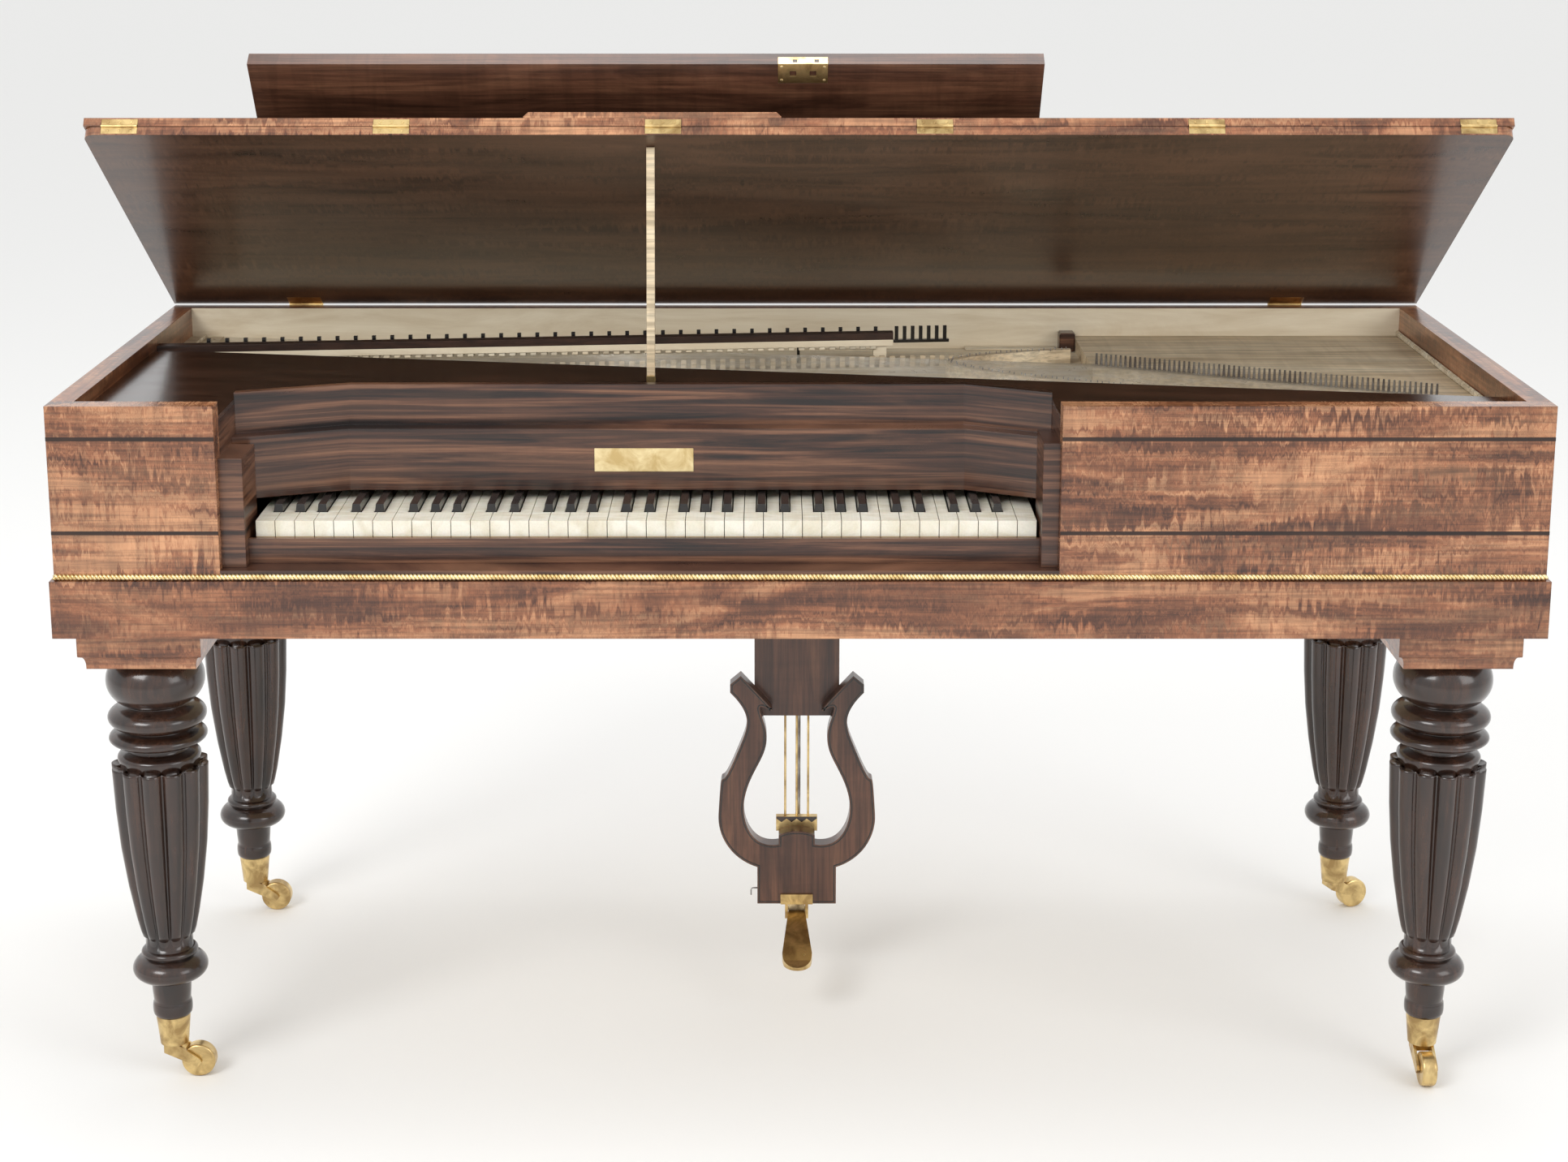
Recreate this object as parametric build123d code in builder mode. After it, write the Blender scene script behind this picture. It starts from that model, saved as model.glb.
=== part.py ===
"""Square piano on four reeded legs with casters, a pedal lyre, a propped lid and a folding lockboard.

Millimetres. +Z is up, -Y faces the player, and the origin is on the floor under the middle of the case.
"""

import math
import os

from build123d import *

os.makedirs("parts", exist_ok=True)

# Case
case_width = 1740.0
case_depth = 680.0
case_top = 873.0
wall = 28.0
rail_bottom = 596.0
rail_top = 665.0
rail_proud = 5.0
planks_thick = 54.0
rope_height = 9.0
rope_proud = 4.4

# Keywell and key frame
well_left = -676.0
well_right = 302.0
bed_thick = 12.0
bed_depth = 378.0
batten_width = 60.0
slip_setback = 33.0
slip_thick = 6.0
slip_height = 30.0
cheek_left_width = 28.0
cheek_right_width = 20.0
cheek_left_height = 131.0
cheek_right_height = 149.0
cheek_front = 14.0
cheek_length = 76.0
end_board_thick = 12.0
end_board_length = 280.0

# Keys
natural_count = 40
natural_pitch = 23.0
keyboard_left = -641.0
key_gap = 0.8
key_front = 42.0
key_head = 40.0
key_length = 330.0
key_thick = 22.0
key_top = 726.5
sharp_width = 12.0
sharp_rise = 9.5
sharp_length = 70.0
sharp_taper = 7.0
lever_drop = 2.5
balance_setback = 215.0
balance_width = 6.0
balance_pin_r = 1.5
pin_clearance = 0.1
pin_slot_length = 8.0
rest_gap = 0.3
back_rail_width = 18.0
front_rail_height = 14.0
front_rail_width = 24.0

# Nameboard
board_setback = 146.0
board_end_setback = 95.0
board_flat_left = -545.0
board_flat_right = 200.0
board_thick = 30.0
board_lower_height = 76.0
board_clearance = 2.0
strip_setback = 24.0
strip_thick = 12.0
strip_height = 50.0

# Inner cover over the front, with a slanting rear edge
cover_thick = 5.0
cover_drop = 17.0
cover_left_reach = 432.0
cover_right_reach = 133.0

# Soundboard, strings and what holds them
sound_bottom = 812.0
sound_thick = 4.0
sound_front = 200.0
plank_width = 454.0
plank_left_setback = 428.0
plank_slope = -0.6717
plank_thick = 18.0
tuning_count = 68
tuning_left_margin = 6.0
tuning_right_margin = 50.0
tuning_inset = 12.0
tuning_pin_r = 2.2
tuning_pin_height = 17.0
hitch_width = 46.0
hitch_span = 302.0
hitch_back_gap = 20.0
hitch_height = 19.0
hitch_margin = 10.0
hitch_pin_r = 1.2
hitch_pin_height = 5.0
string_r = 0.5
string_clearance = 0.1
string_lift = 2.5
bridge_width = 12.0
bridge_gap = 0.3

# Hammers and dampers
hammer_rail_setback = 340.0
hammer_rail_width = 14.0
hammer_rail_bottom = 748.0
hammer_rail_height = 16.0
hammer_shank = 4.0
hammer_shank_height = 6.0
hammer_head = 7.0
hammer_top = 830.0
hammer_foot_width = 11.0
strike_left_x = -804.0
strike_left_setback = 452.0
strike_slope = 0.0984
hammer_to_rail = 16.0
hammer_slot = 17.0
damper_rail_width = 18.0
damper_rail_height = 18.0
damper_rail_bottom = 842.0
damper_rail_right = 131.0
damper_foot_width = 18.0
damper_pitch = 24.0
damper_post = 5.0
damper_post_height = 18.0
damper_tall_count = 7
damper_tall_pitch = 11.0
lift_bar_width = 8.0
lift_bar_height = 4.0
lift_bar_gap = 4.0
lift_arm_width = 4.0
lift_arm_height = 8.0
lift_arm_bottom = 796.0
riser_r = 2.0
rod_r = 2.5
rod_setback = 388.0
rod_clearance = 0.06

# Legs and casters
leg_end_inset = 91.0
leg_front_setback = 85.0
leg_back_inset = 74.0
leg_block = 146.0
leg_block_height = 29.0
leg_step_height = 16.0
leg_step_inset = 8.0
leg_bulb_r = 59.0
leg_neck_r = 38.0
ring_fullness = 0.96
leg_collar_r = 51.0
leg_bulb_bottom = 489.0
leg_ring_bottom = 458.0
leg_neck_top = 437.0
leg_neck_bottom = 428.0
leg_petal_top = 411.0
reed_count = 12
reed_depth = 0.07
reed_sections = [(411.0, 59.0), (360.0, 56.9), (310.0, 53.0), (260.0, 46.4), (217.0, 38.7), (190.0, 32.5)]
shank_r = 28.6
shank_bottom = 172.0
small_ring_r = 34.8
small_ring_bottom = 162.0
big_ring_r = 46.0
big_ring_bottom = 131.0
ankle_r = 24.6
bead_top = 102.0
bead_neck_r = 22.0
bead_r = 24.2
ferrule_top = 82.0
ferrule_top_r = 21.3
ferrule_bottom_r = 17.4
wheel_r = 21.0
wheel_width = 18.0
wheel_bore_r = 3.05
wheel_gap = 0.5
wheel_trail = 30.0
axle_r = 3.0
fork_plate = 3.5
crown_top = 43.7
crown_height = 10.0
crown_back = 11.0
crown_front = 7.0
ferrule_gap = 0.3
stem_r = 4.0
stem_length = 18.0
stem_clearance = 0.05

# Lyre and pedal
lyre_setback = 340.0
lyre_thick = 22.0
lyre_board_width = 112.0
lyre_board_thick = 12.0
lyre_board_bottom = 376.0
lyre_block_width = 105.0
lyre_block_top = 171.0
lyre_block_bottom = 119.0
lyre_half_width = 104.0
lyre_rod_r = 1.5
lyre_rod_step = 15.3
lyre_plate_width = 55.0
lyre_plate_top = 234.0
lyre_plate_height = 20.0
lyre_plate_thick = 10.0
pedal_pin_z = 107.0
pedal_pin_setback = 353.0
pedal_pin_r = 2.5
pedal_bore_clearance = 0.05
pedal_ear_thick = 4.0
pedal_ear_gap = 0.5
pedal_ear_reach = 8.0
pedal_plate_width = 43.0
pedal_plate_height = 14.0
pedal_plate_thick = 3.0
pedal_neck_width = 22.0
pedal_toe_width = 39.0
pedal_toe_length = 34.0
pedal_thick = 8.0
pedal_tip_setback = 223.0
pedal_tip_z = 79.0
pedal_tail_length = 41.0

# Lid, flap, lockboard and prop
lid_open = 33.0
lid_thick = 11.0
lid_length = 524.0
lid_overhang = 2.0
lid_hinge_gap = 2.6
lid_seat_gap = 0.3
lid_corner_r = 14.0
flap_depth = 166.0
flap_gap = 1.0
fold_gap = 1.0
lockboard_width = 974.0
lockboard_x = -187.0
lockboard_height = 166.0
lockboard_thick = 20.0
lockboard_inset = 32.0
lockboard_lean = 22.0
butt_end_inset = 185.0
butt_width = 47.0
butt_leaf = 22.0
butt_leaf_thick = 2.0
butt_barrel_r = 2.4
flap_hinge_count = 6
flap_hinge_end_inset = 44.0
flap_hinge_width = 44.0
hinge_leaf_thick = 1.2
hinge_leaf_height = 8.0
hinge_barrel_r = 1.7
hinge_pin_r = 0.8
hinge_play = 0.05
knuckle_gap = 0.3
lock_hinge_step = 380.0
lock_plate_width = 61.0
lock_plate_height = 30.0
lock_plate_thick = 1.5
lock_plate_x = 5.0
lock_hole = 8.0
ledge_width = 315.0
ledge_x = -179.0
ledge_depth = 12.0
ledge_height = 8.0
ledge_bevel = 6.0
prop_x = -182.0
prop_base_setback = 221.0
prop_base_z = 863.0
prop_lean = 9.9
prop_width = 10.0
prop_top_gap = 0.3
prop_pin_r = 2.0
prop_clearance = 0.05
prop_ear_thick = 4.0
prop_ear_gap = 1.3

# Places that follow from the sizes above
front = -case_depth / 2
back = case_depth / 2
half = case_width / 2
inner_half = half - wall
inner_front = front + wall
inner_back = back - wall
lid_half = half + lid_overhang
butt_x = lid_half - butt_end_inset
leg_x = half - leg_end_inset
leg_back_y = back - leg_back_inset
plank_left = inner_half - plank_width
tuning_first_x = plank_left + tuning_left_margin
tuning_last_x = inner_half - tuning_right_margin
hitch_last_y = inner_back - hitch_back_gap
hitch_first_y = hitch_last_y - hitch_span
planks_top = rail_bottom + planks_thick
bed_top = rail_top + bed_thick
key_bottom = key_top - key_thick
lever_top = key_top - lever_drop
key_front_y = front + key_front
key_back_y = key_front_y + key_length
key_head_y = key_front_y + key_head
balance_y = front + balance_setback
board_bottom = key_top + sharp_rise + board_clearance
board_top = board_bottom + board_lower_height
strip_top = board_top + strip_height
cover_top = case_top - cover_drop
cover_bottom = cover_top - cover_thick
sound_top = sound_bottom + sound_thick
plank_top = sound_top + plank_thick
string_z = plank_top + string_lift
keyboard_right = keyboard_left + natural_count * natural_pitch


def block(x0, x1, y0, y1, z0, z1, mode=Mode.ADD):
    """A box between two corners, in the part being built."""
    with Locations(((x0 + x1) / 2, (y0 + y1) / 2, (z0 + z1) / 2)):
        Box(x1 - x0, y1 - y0, z1 - z0, mode=mode)


def sloping_bar(centre_x, centre_y, z0, z1, length_x, slope, width, mode=Mode.ADD):
    """A straight bar that runs along X with a slope in plan, in the part being built."""
    angle = math.atan(slope)
    with Locations(Location((centre_x, centre_y, (z0 + z1) / 2), (0, 0, math.degrees(angle)))):
        Box(length_x / math.cos(angle), width, z1 - z0, mode=mode)


# Case boards
with BuildPart() as base_rail:
    block(-half - rail_proud, half + rail_proud, front - rail_proud, inner_front, rail_bottom, rail_top)
    block(-half - rail_proud, half + rail_proud, inner_back, back, rail_bottom, rail_top)
    for side in (-1, 1):
        x_inner, x_outer = sorted((side * inner_half, side * (half + rail_proud)))
        block(x_inner, x_outer, inner_front, inner_back, rail_bottom, rail_top)
base_rail.part.label = "base_rail"
export_step(base_rail.part, "parts/base_rail.step")

with BuildPart() as side_boards:
    for side in (-1, 1):
        x_inner, x_outer = sorted((side * inner_half, side * half))
        block(x_inner, x_outer, inner_front, inner_back, rail_top, case_top)
side_boards.part.label = "side_boards"
export_step(side_boards.part, "parts/side_boards.step")

with BuildPart() as back_board:
    block(-half, half, inner_back, back, rail_top, case_top)
back_board.part.label = "back_board"
export_step(back_board.part, "parts/back_board.step")

with BuildPart() as front_boards:
    block(-half, well_left, front, inner_front, rail_top, case_top)
    block(well_right, half, front, inner_front, rail_top, case_top)
front_boards.part.label = "front_boards"
export_step(front_boards.part, "parts/front_boards.step")

# A half-round twisted moulding stands on the base rail's proud top, right across the front
rope_profile = Plane(origin=(-half, front, rail_top), x_dir=(0, 1, 0), z_dir=(1, 0, 0))
with BuildPart() as rope_moulding:
    with BuildSketch(rope_profile):
        with BuildLine():
            rope_top = Line((0, 0), (0, rope_height))
            ThreePointArc((0, rope_height), (-rope_proud, rope_height / 2), (0, 0))
        make_face()
    extrude(amount=case_width)
rope_moulding.part.label = "rope_moulding"
export_step(rope_moulding.part, "parts/rope_moulding.step")

# Key places: each natural has its left edge, and each sharp sits near the joint of two naturals
letters = ["FGABCDE"[i % 7] for i in range(natural_count)]
sharp_shift = {"C": -2.5, "D": 2.5, "F": -3.0, "G": 0.0, "A": 3.0}
naturals = []
sharps = []
for i, letter in enumerate(letters):
    left = keyboard_left + i * natural_pitch
    naturals.append((left, letter, i))
    if letter in sharp_shift and i < natural_count - 1:
        sharps.append((left + natural_pitch + sharp_shift[letter], letter, i))
sharp_after = {i: x for x, letter, i in sharps}


def natural_tail(i):
    """Left and right edge of a natural's narrow rear part."""
    left = keyboard_left + i * natural_pitch + key_gap / 2
    right = left + natural_pitch - key_gap
    if i - 1 in sharp_after:
        left = sharp_after[i - 1] + sharp_width / 2 + key_gap
    if i in sharp_after:
        right = sharp_after[i] - sharp_width / 2 - key_gap
    return left, right


def cut_pin_slot(x):
    """Cuts a slot through the key being built, long enough for the key to tip on its pin."""
    reach = balance_pin_r + pin_clearance
    block(x - reach, x + reach, balance_y - pin_slot_length / 2, balance_y + pin_slot_length / 2,
          key_bottom, key_top, mode=Mode.SUBTRACT)


def natural_key(i):
    """One natural key: a wide head and a tail that passes between the sharps."""
    left = keyboard_left + i * natural_pitch + key_gap / 2
    right = left + natural_pitch - key_gap
    tail_left, tail_right = natural_tail(i)
    with BuildPart() as key:
        block(left, right, key_front_y, key_head_y, key_bottom, key_top)
        block(tail_left, tail_right, key_head_y, key_back_y, key_bottom, key_top)
        cut_pin_slot((tail_left + tail_right) / 2)
    return key


def sharp_key(x):
    """One sharp key: a lever with a tapering raised cap."""
    cap_start = key_head_y + key_gap
    with BuildPart() as key:
        block(x - sharp_width / 2, x + sharp_width / 2, cap_start, key_back_y, key_bottom, lever_top)
        with BuildSketch(Plane.XY.offset(lever_top)):
            with Locations((x, cap_start + sharp_length / 2)):
                Rectangle(sharp_width, sharp_length)
        extrude(amount=sharp_rise + lever_drop, taper=sharp_taper)
        cut_pin_slot(x)
    return key


# The middle octave, from C to B, has a node for each key
middle_first = 18
middle_naturals = list(range(middle_first, middle_first + 7))
middle_sharps = [i for x, letter, i in sharps if i in middle_naturals]
for i in middle_naturals:
    key_name = "key_" + letters[i].lower()
    key = natural_key(i)
    key.part.label = key_name
    export_step(key.part, f"parts/{key_name}.step")
for i in middle_sharps:
    key_name = "key_" + letters[i].lower() + "_sharp"
    key = sharp_key(sharp_after[i])
    key.part.label = key_name
    export_step(key.part, f"parts/{key_name}.step")

plain_naturals = [natural_key(i).part for left, letter, i in naturals if i not in middle_naturals]
with BuildPart() as other_naturals:
    add(plain_naturals)
other_naturals.part.label = "other_naturals"
export_step(other_naturals.part, "parts/other_naturals.step")

plain_sharps = [sharp_key(x).part for x, letter, i in sharps if i not in middle_sharps]
with BuildPart() as other_sharps:
    add(plain_sharps)
other_sharps.part.label = "other_sharps"
export_step(other_sharps.part, "parts/other_sharps.step")

# Each key's balance pin and hammer stand at the middle of its rear part
key_centres = sorted([sum(natural_tail(i)) / 2 for i in range(natural_count)] + [x for x, letter, i in sharps])

# Key frame: bed, two battens on the planks, front, balance and back rails, and the balance pins
with BuildPart() as key_frame:
    block(well_left, well_right, front, front + bed_depth, rail_top, bed_top)
    for batten_y in (inner_front, front + bed_depth - batten_width):
        block(well_left, well_right, batten_y, batten_y + batten_width, planks_top, rail_top)
    block(keyboard_left, keyboard_right, key_front_y + key_head / 4,
          key_front_y + key_head / 4 + front_rail_width, bed_top, bed_top + front_rail_height)
    block(keyboard_left, keyboard_right, balance_y - balance_width / 2, balance_y + balance_width / 2,
          bed_top, key_bottom - rest_gap)
    block(keyboard_left, keyboard_right, key_back_y - back_rail_width, key_back_y,
          bed_top, key_bottom - rest_gap)
    with BuildSketch(Plane.XY.offset(key_bottom - rest_gap)):
        with Locations(*[(x, balance_y) for x in key_centres]):
            Circle(balance_pin_r)
    extrude(amount=key_thick + 2 * rest_gap)
key_frame.part.label = "key_frame"
export_step(key_frame.part, "parts/key_frame.step")

# Key slip: a thin upright board in front of the keys
with BuildPart() as key_slip:
    block(well_left + cheek_left_width, well_right - cheek_right_width, front + slip_setback,
          front + slip_setback + slip_thick, bed_top, bed_top + slip_height)
key_slip.part.label = "key_slip"
export_step(key_slip.part, "parts/key_slip.step")

# Cheeks: at each end of the keys a block, and an end board behind it that carries nameboard and cover
with BuildPart() as key_cheeks:
    block(well_left, well_left + cheek_left_width, front + cheek_front,
          front + cheek_front + cheek_length, bed_top, bed_top + cheek_left_height)
    block(well_right - cheek_right_width, well_right, front + cheek_front,
          front + cheek_front + cheek_length, bed_top, bed_top + cheek_right_height)
    for outer, inner in ((well_left - end_board_thick, well_left), (well_right, well_right + end_board_thick)):
        block(outer, inner, inner_front, inner_front + end_board_length, planks_top, sound_bottom)
        block(outer, inner, inner_front, front + sound_front, sound_bottom, cover_bottom)
key_cheeks.part.label = "key_cheeks"
export_step(key_cheeks.part, "parts/key_cheeks.step")


def nameboard_plan(setback, thick):
    """The nameboard's plan: a flat middle and two wings that come forward to the cheeks."""
    points = [
        (well_left, front + board_end_setback + setback),
        (board_flat_left, front + board_setback + setback),
        (board_flat_right, front + board_setback + setback),
        (well_right, front + board_end_setback + setback),
    ]
    return points + [(x, y + thick) for x, y in reversed(points)]


with BuildPart() as nameboard:
    with BuildSketch(Plane.XY.offset(board_bottom)):
        with BuildLine():
            Polyline(*nameboard_plan(0, board_thick), close=True)
        make_face()
    extrude(amount=board_lower_height)
    with BuildSketch(Plane.XY.offset(board_top)):
        with BuildLine():
            Polyline(*nameboard_plan(strip_setback, strip_thick), close=True)
        make_face()
    extrude(amount=strip_height)
nameboard.part.label = "nameboard"
export_step(nameboard.part, "parts/nameboard.step")

# Inner cover: a dark board that follows the front and the nameboard, with a slanting rear edge
strip_rear = strip_setback + strip_thick
with BuildPart() as inner_cover:
    with BuildSketch(Plane.XY.offset(cover_bottom)):
        with BuildLine():
            Polyline(
                (-inner_half, inner_front),
                (well_left, inner_front),
                (well_left, front + board_end_setback + strip_rear),
                (board_flat_left, front + board_setback + strip_rear),
                (board_flat_right, front + board_setback + strip_rear),
                (well_right, front + board_end_setback + strip_rear),
                (well_right, inner_front),
                (inner_half, inner_front),
                (inner_half, front + cover_right_reach),
                (-inner_half, front + cover_left_reach),
                close=True,
            )
        make_face()
    extrude(amount=cover_thick)
inner_cover.part.label = "inner_cover"
export_step(inner_cover.part, "parts/inner_cover.step")


def strike_y(x):
    """The striking line: where the hammers stand, at a given place along the keyboard."""
    return front + strike_left_setback + (x - strike_left_x) * strike_slope


def head_y(x):
    """Where a hammer's head stands, a little in front of the damper rail."""
    return strike_y(x) - hammer_to_rail


# Hammers: a rail over the key levers, with a shank and a head for each key
with BuildPart() as hammers:
    rail_y = front + hammer_rail_setback
    block(keyboard_left, keyboard_right, rail_y, rail_y + hammer_rail_width,
          hammer_rail_bottom, hammer_rail_bottom + hammer_rail_height)
    for x0, x1 in ((keyboard_left - hammer_foot_width, keyboard_left),
                   (keyboard_right, keyboard_right + hammer_foot_width)):
        block(x0, x1, rail_y, rail_y + hammer_rail_width, bed_top, hammer_rail_bottom + hammer_rail_height)
    comb = [(keyboard_left, rail_y), (keyboard_left, rail_y + hammer_rail_width)]
    for x in key_centres:
        comb += [(x - hammer_shank / 2, rail_y + hammer_rail_width), (x - hammer_shank / 2, head_y(x)),
                 (x + hammer_shank / 2, head_y(x)), (x + hammer_shank / 2, rail_y + hammer_rail_width)]
    comb += [(keyboard_right, rail_y + hammer_rail_width), (keyboard_right, rail_y)]
    with BuildSketch(Plane.XY.offset(hammer_rail_bottom)):
        with BuildLine():
            Polyline(*comb, close=True)
        make_face()
    extrude(amount=hammer_shank_height)
    with Locations(*[(x, head_y(x), (hammer_rail_bottom + hammer_top) / 2) for x in key_centres]):
        Box(hammer_head, hammer_head, hammer_top - hammer_rail_bottom)
hammers.part.label = "hammers"
export_step(hammers.part, "parts/hammers.step")

# The pedal's rod rises between the two hammers nearest the middle
near_rod = min(range(len(key_centres) - 1), key=lambda k: abs(key_centres[k] + key_centres[k + 1]))
rod_x = (key_centres[near_rod] + key_centres[near_rod + 1]) / 2
rod_y = front + rod_setback
riser_y = strike_y(rod_x) + damper_rail_width / 2 + lift_bar_gap + lift_bar_width / 2

# Soundboard, with a slot for the hammers and a hole for the damper riser
with BuildPart() as soundboard:
    block(-inner_half, inner_half, front + sound_front, inner_back, sound_bottom, sound_top)
    slot_mid = (keyboard_left + keyboard_right) / 2
    sloping_bar(slot_mid, strike_y(slot_mid) - hammer_to_rail, sound_bottom, sound_top,
                natural_count * natural_pitch + hammer_slot, strike_slope, hammer_slot, mode=Mode.SUBTRACT)
    with BuildSketch(Plane.XY.offset(sound_bottom)):
        with Locations((rod_x, riser_y)):
            Circle(riser_r + rod_clearance)
    extrude(amount=sound_thick, mode=Mode.SUBTRACT)
soundboard.part.label = "soundboard"
export_step(soundboard.part, "parts/soundboard.step")

# Wrest plank over the right rear of the soundboard, with a slanting front edge
plank_right_y = front + plank_left_setback + (inner_half - plank_left) * plank_slope
with BuildPart() as wrest_plank:
    with BuildSketch(Plane.XY.offset(sound_top)):
        with BuildLine():
            Polyline(
                (plank_left, front + plank_left_setback),
                (inner_half, max(plank_right_y, front + sound_front)),
                (inner_half, inner_back),
                (plank_left, inner_back),
                close=True,
            )
        make_face()
    extrude(amount=plank_thick)
wrest_plank.part.label = "wrest_plank"
export_step(wrest_plank.part, "parts/wrest_plank.step")

# Tuning pins, in a row along the plank's slanting edge
plank_angle = math.atan2(max(plank_right_y, front + sound_front) - front - plank_left_setback,
                         inner_half - plank_left)
plank_run = math.tan(plank_angle)
tuning_places = []
for k in range(tuning_count):
    x = tuning_first_x + (tuning_last_x - tuning_first_x) * k / (tuning_count - 1)
    edge_y = front + plank_left_setback + (x - plank_left) * plank_run
    tuning_places.append((x, edge_y + tuning_inset))
with BuildPart() as tuning_pins:
    with BuildSketch(Plane.XY.offset(plank_top)):
        with Locations(*tuning_places):
            Circle(tuning_pin_r)
    extrude(amount=tuning_pin_height)
tuning_pins.part.label = "tuning_pins"
export_step(tuning_pins.part, "parts/tuning_pins.step")

# Hitch rail at the left end, with a pin for each string
hitch_top = sound_top + hitch_height
hitch_step = hitch_span / (tuning_count - 1)
hitch_x = -inner_half + hitch_width / 2
hitch_places = [(hitch_x, hitch_last_y - hitch_step * k) for k in range(tuning_count)]
with BuildPart() as hitch_rail:
    block(-inner_half, -inner_half + hitch_width, hitch_first_y - hitch_margin,
          hitch_last_y + hitch_margin, sound_top, hitch_top)
    with BuildSketch(Plane.XY.offset(hitch_top)):
        with Locations(*hitch_places):
            Circle(hitch_pin_r)
    extrude(amount=hitch_pin_height)
hitch_rail.part.label = "hitch_rail"
export_step(hitch_rail.part, "parts/hitch_rail.step")

def string_between(x0, y0, x1, y1):
    """One string, from its hitch pin to the place where it passes in front of its tuning pin."""
    far = math.hypot(x1 - x0, y1 - y0)
    to_side = math.asin((tuning_pin_r + string_r + string_clearance) / far)
    turn = math.atan2(y1 - y0, x1 - x0) - to_side
    ux, uy = math.cos(turn), math.sin(turn)
    span = far * math.cos(to_side)
    start = hitch_pin_r + string_clearance
    string_start = Plane(origin=(x0 + ux * start, y0 + uy * start, string_z), x_dir=(0, 0, 1), z_dir=(ux, uy, 0))
    with BuildPart() as string:
        with BuildSketch(string_start):
            Circle(string_r)
        extrude(amount=span - start)
    return string.part


all_strings = [string_between(*hitch, *pin) for hitch, pin in zip(hitch_places, tuning_places)]
with BuildPart() as strings:
    add(all_strings)
strings.part.label = "strings"
export_step(strings.part, "parts/strings.step")

# Bridge: a curved ridge on the soundboard with two arms, and its pins
bridge_path = [(372.0, 545.0), (262.0, 512.0), (203.0, 460.0), (262.0, 385.0), (387.0, 313.0), (531.0, 240.0)]
bridge_top = string_z - string_r - bridge_gap
with BuildPart() as bridge:
    with BuildSketch(Plane.XY.offset(sound_top)):
        with BuildLine() as bridge_line:
            Spline(*[(x, front + q) for x, q in bridge_path])
        trace(line_width=bridge_width)
    extrude(amount=bridge_top - sound_top)
bridge.part.label = "bridge"
export_step(bridge.part, "parts/bridge.step")

# Damper rail over the strings, on a foot at its right end and against the left side board
damper_mid = (damper_rail_right - inner_half) / 2
damper_span = damper_rail_right + inner_half
foot_y = strike_y(damper_rail_right - damper_foot_width)
with BuildPart() as damper_rail:
    with BuildSketch(Plane.XY.offset(damper_rail_bottom)):
        with BuildLine():
            Polyline(
                (-inner_half, strike_y(-inner_half) - damper_rail_width / 2),
                (damper_rail_right, strike_y(damper_rail_right) - damper_rail_width / 2),
                (damper_rail_right, strike_y(damper_rail_right) + damper_rail_width / 2),
                (-inner_half, strike_y(-inner_half) + damper_rail_width / 2),
                close=True,
            )
        make_face()
    extrude(amount=damper_rail_height)
    block(damper_rail_right - 1.5 * damper_foot_width, damper_rail_right - damper_foot_width / 2,
          foot_y - damper_foot_width / 3, foot_y + damper_foot_width / 3, sound_top, damper_rail_bottom)
damper_rail.part.label = "damper_rail"
export_step(damper_rail.part, "parts/damper_rail.step")

# Dampers: a row of posts on a bar behind the rail, lifted by a riser, an arm and the pedal's rod
bar_offset = damper_rail_width / 2 + lift_bar_gap + lift_bar_width / 2
bar_left = -inner_half + hitch_width + lift_bar_gap
bar_right = damper_rail_right + damper_tall_count * damper_tall_pitch
bar_bottom = damper_rail_bottom
bar_mid = (bar_left + bar_right) / 2
with BuildPart() as dampers:
    sloping_bar(bar_mid, strike_y(bar_mid) + bar_offset, bar_bottom, bar_bottom + lift_bar_height,
                bar_right - bar_left, strike_slope, lift_bar_width)
    post_count = int((damper_rail_right - bar_left) / damper_pitch)
    post_xs = [bar_left + damper_pitch * (k + 0.5) for k in range(post_count)]
    post_xs += [damper_rail_right + damper_tall_pitch * (k + 0.5) for k in range(damper_tall_count)]
    post_mid = bar_bottom + lift_bar_height + damper_post_height / 2
    with Locations(*[(x, strike_y(x) + bar_offset, post_mid) for x in post_xs]):
        Box(damper_post, damper_post, damper_post_height)
    with BuildSketch(Plane.XY.offset(lift_arm_bottom + lift_arm_height)):
        with Locations((rod_x, riser_y)):
            Circle(riser_r)
    extrude(amount=bar_bottom - lift_arm_bottom - lift_arm_height)
    block(rod_x - lift_arm_width / 2, rod_x + lift_arm_width / 2, rod_y - 2 * rod_r, riser_y + riser_r,
          lift_arm_bottom, lift_arm_bottom + lift_arm_height)
dampers.part.label = "dampers"
export_step(dampers.part, "parts/dampers.step")

# Bottom planks, with the hole that guides the pedal's rod
with BuildPart() as bottom_board:
    block(-inner_half, inner_half, inner_front, inner_back, rail_bottom, planks_top)
    with BuildSketch(Plane.XY.offset(rail_bottom)):
        with Locations((rod_x, rod_y)):
            Circle(rod_r + rod_clearance)
    extrude(amount=planks_thick, mode=Mode.SUBTRACT)
bottom_board.part.label = "bottom_board"
export_step(bottom_board.part, "parts/bottom_board.step")


# Legs: a square block, turned rings and bulb, a reeded shank and a turned ankle
def lip_r(radius, top, bottom):
    """Radius at the edges of a turned ring, where its round starts, for the ring's own radius and heights."""
    return radius - ring_fullness * (top - bottom) / 2


def reed_outline(radius):
    """Points round a reeded shank: each reed rises from a valley over flats to its crest."""
    points = []
    for k in range(reed_count):
        for share, drop in ((0, 1), (0.25, 0.25), (0.5, 0), (0.75, 0.25)):
            turn = (k + share) * 2 * math.pi / reed_count
            reach = radius * (1 - reed_depth * drop)
            points.append((reach * math.cos(turn), reach * math.sin(turn)))
    return points


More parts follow.
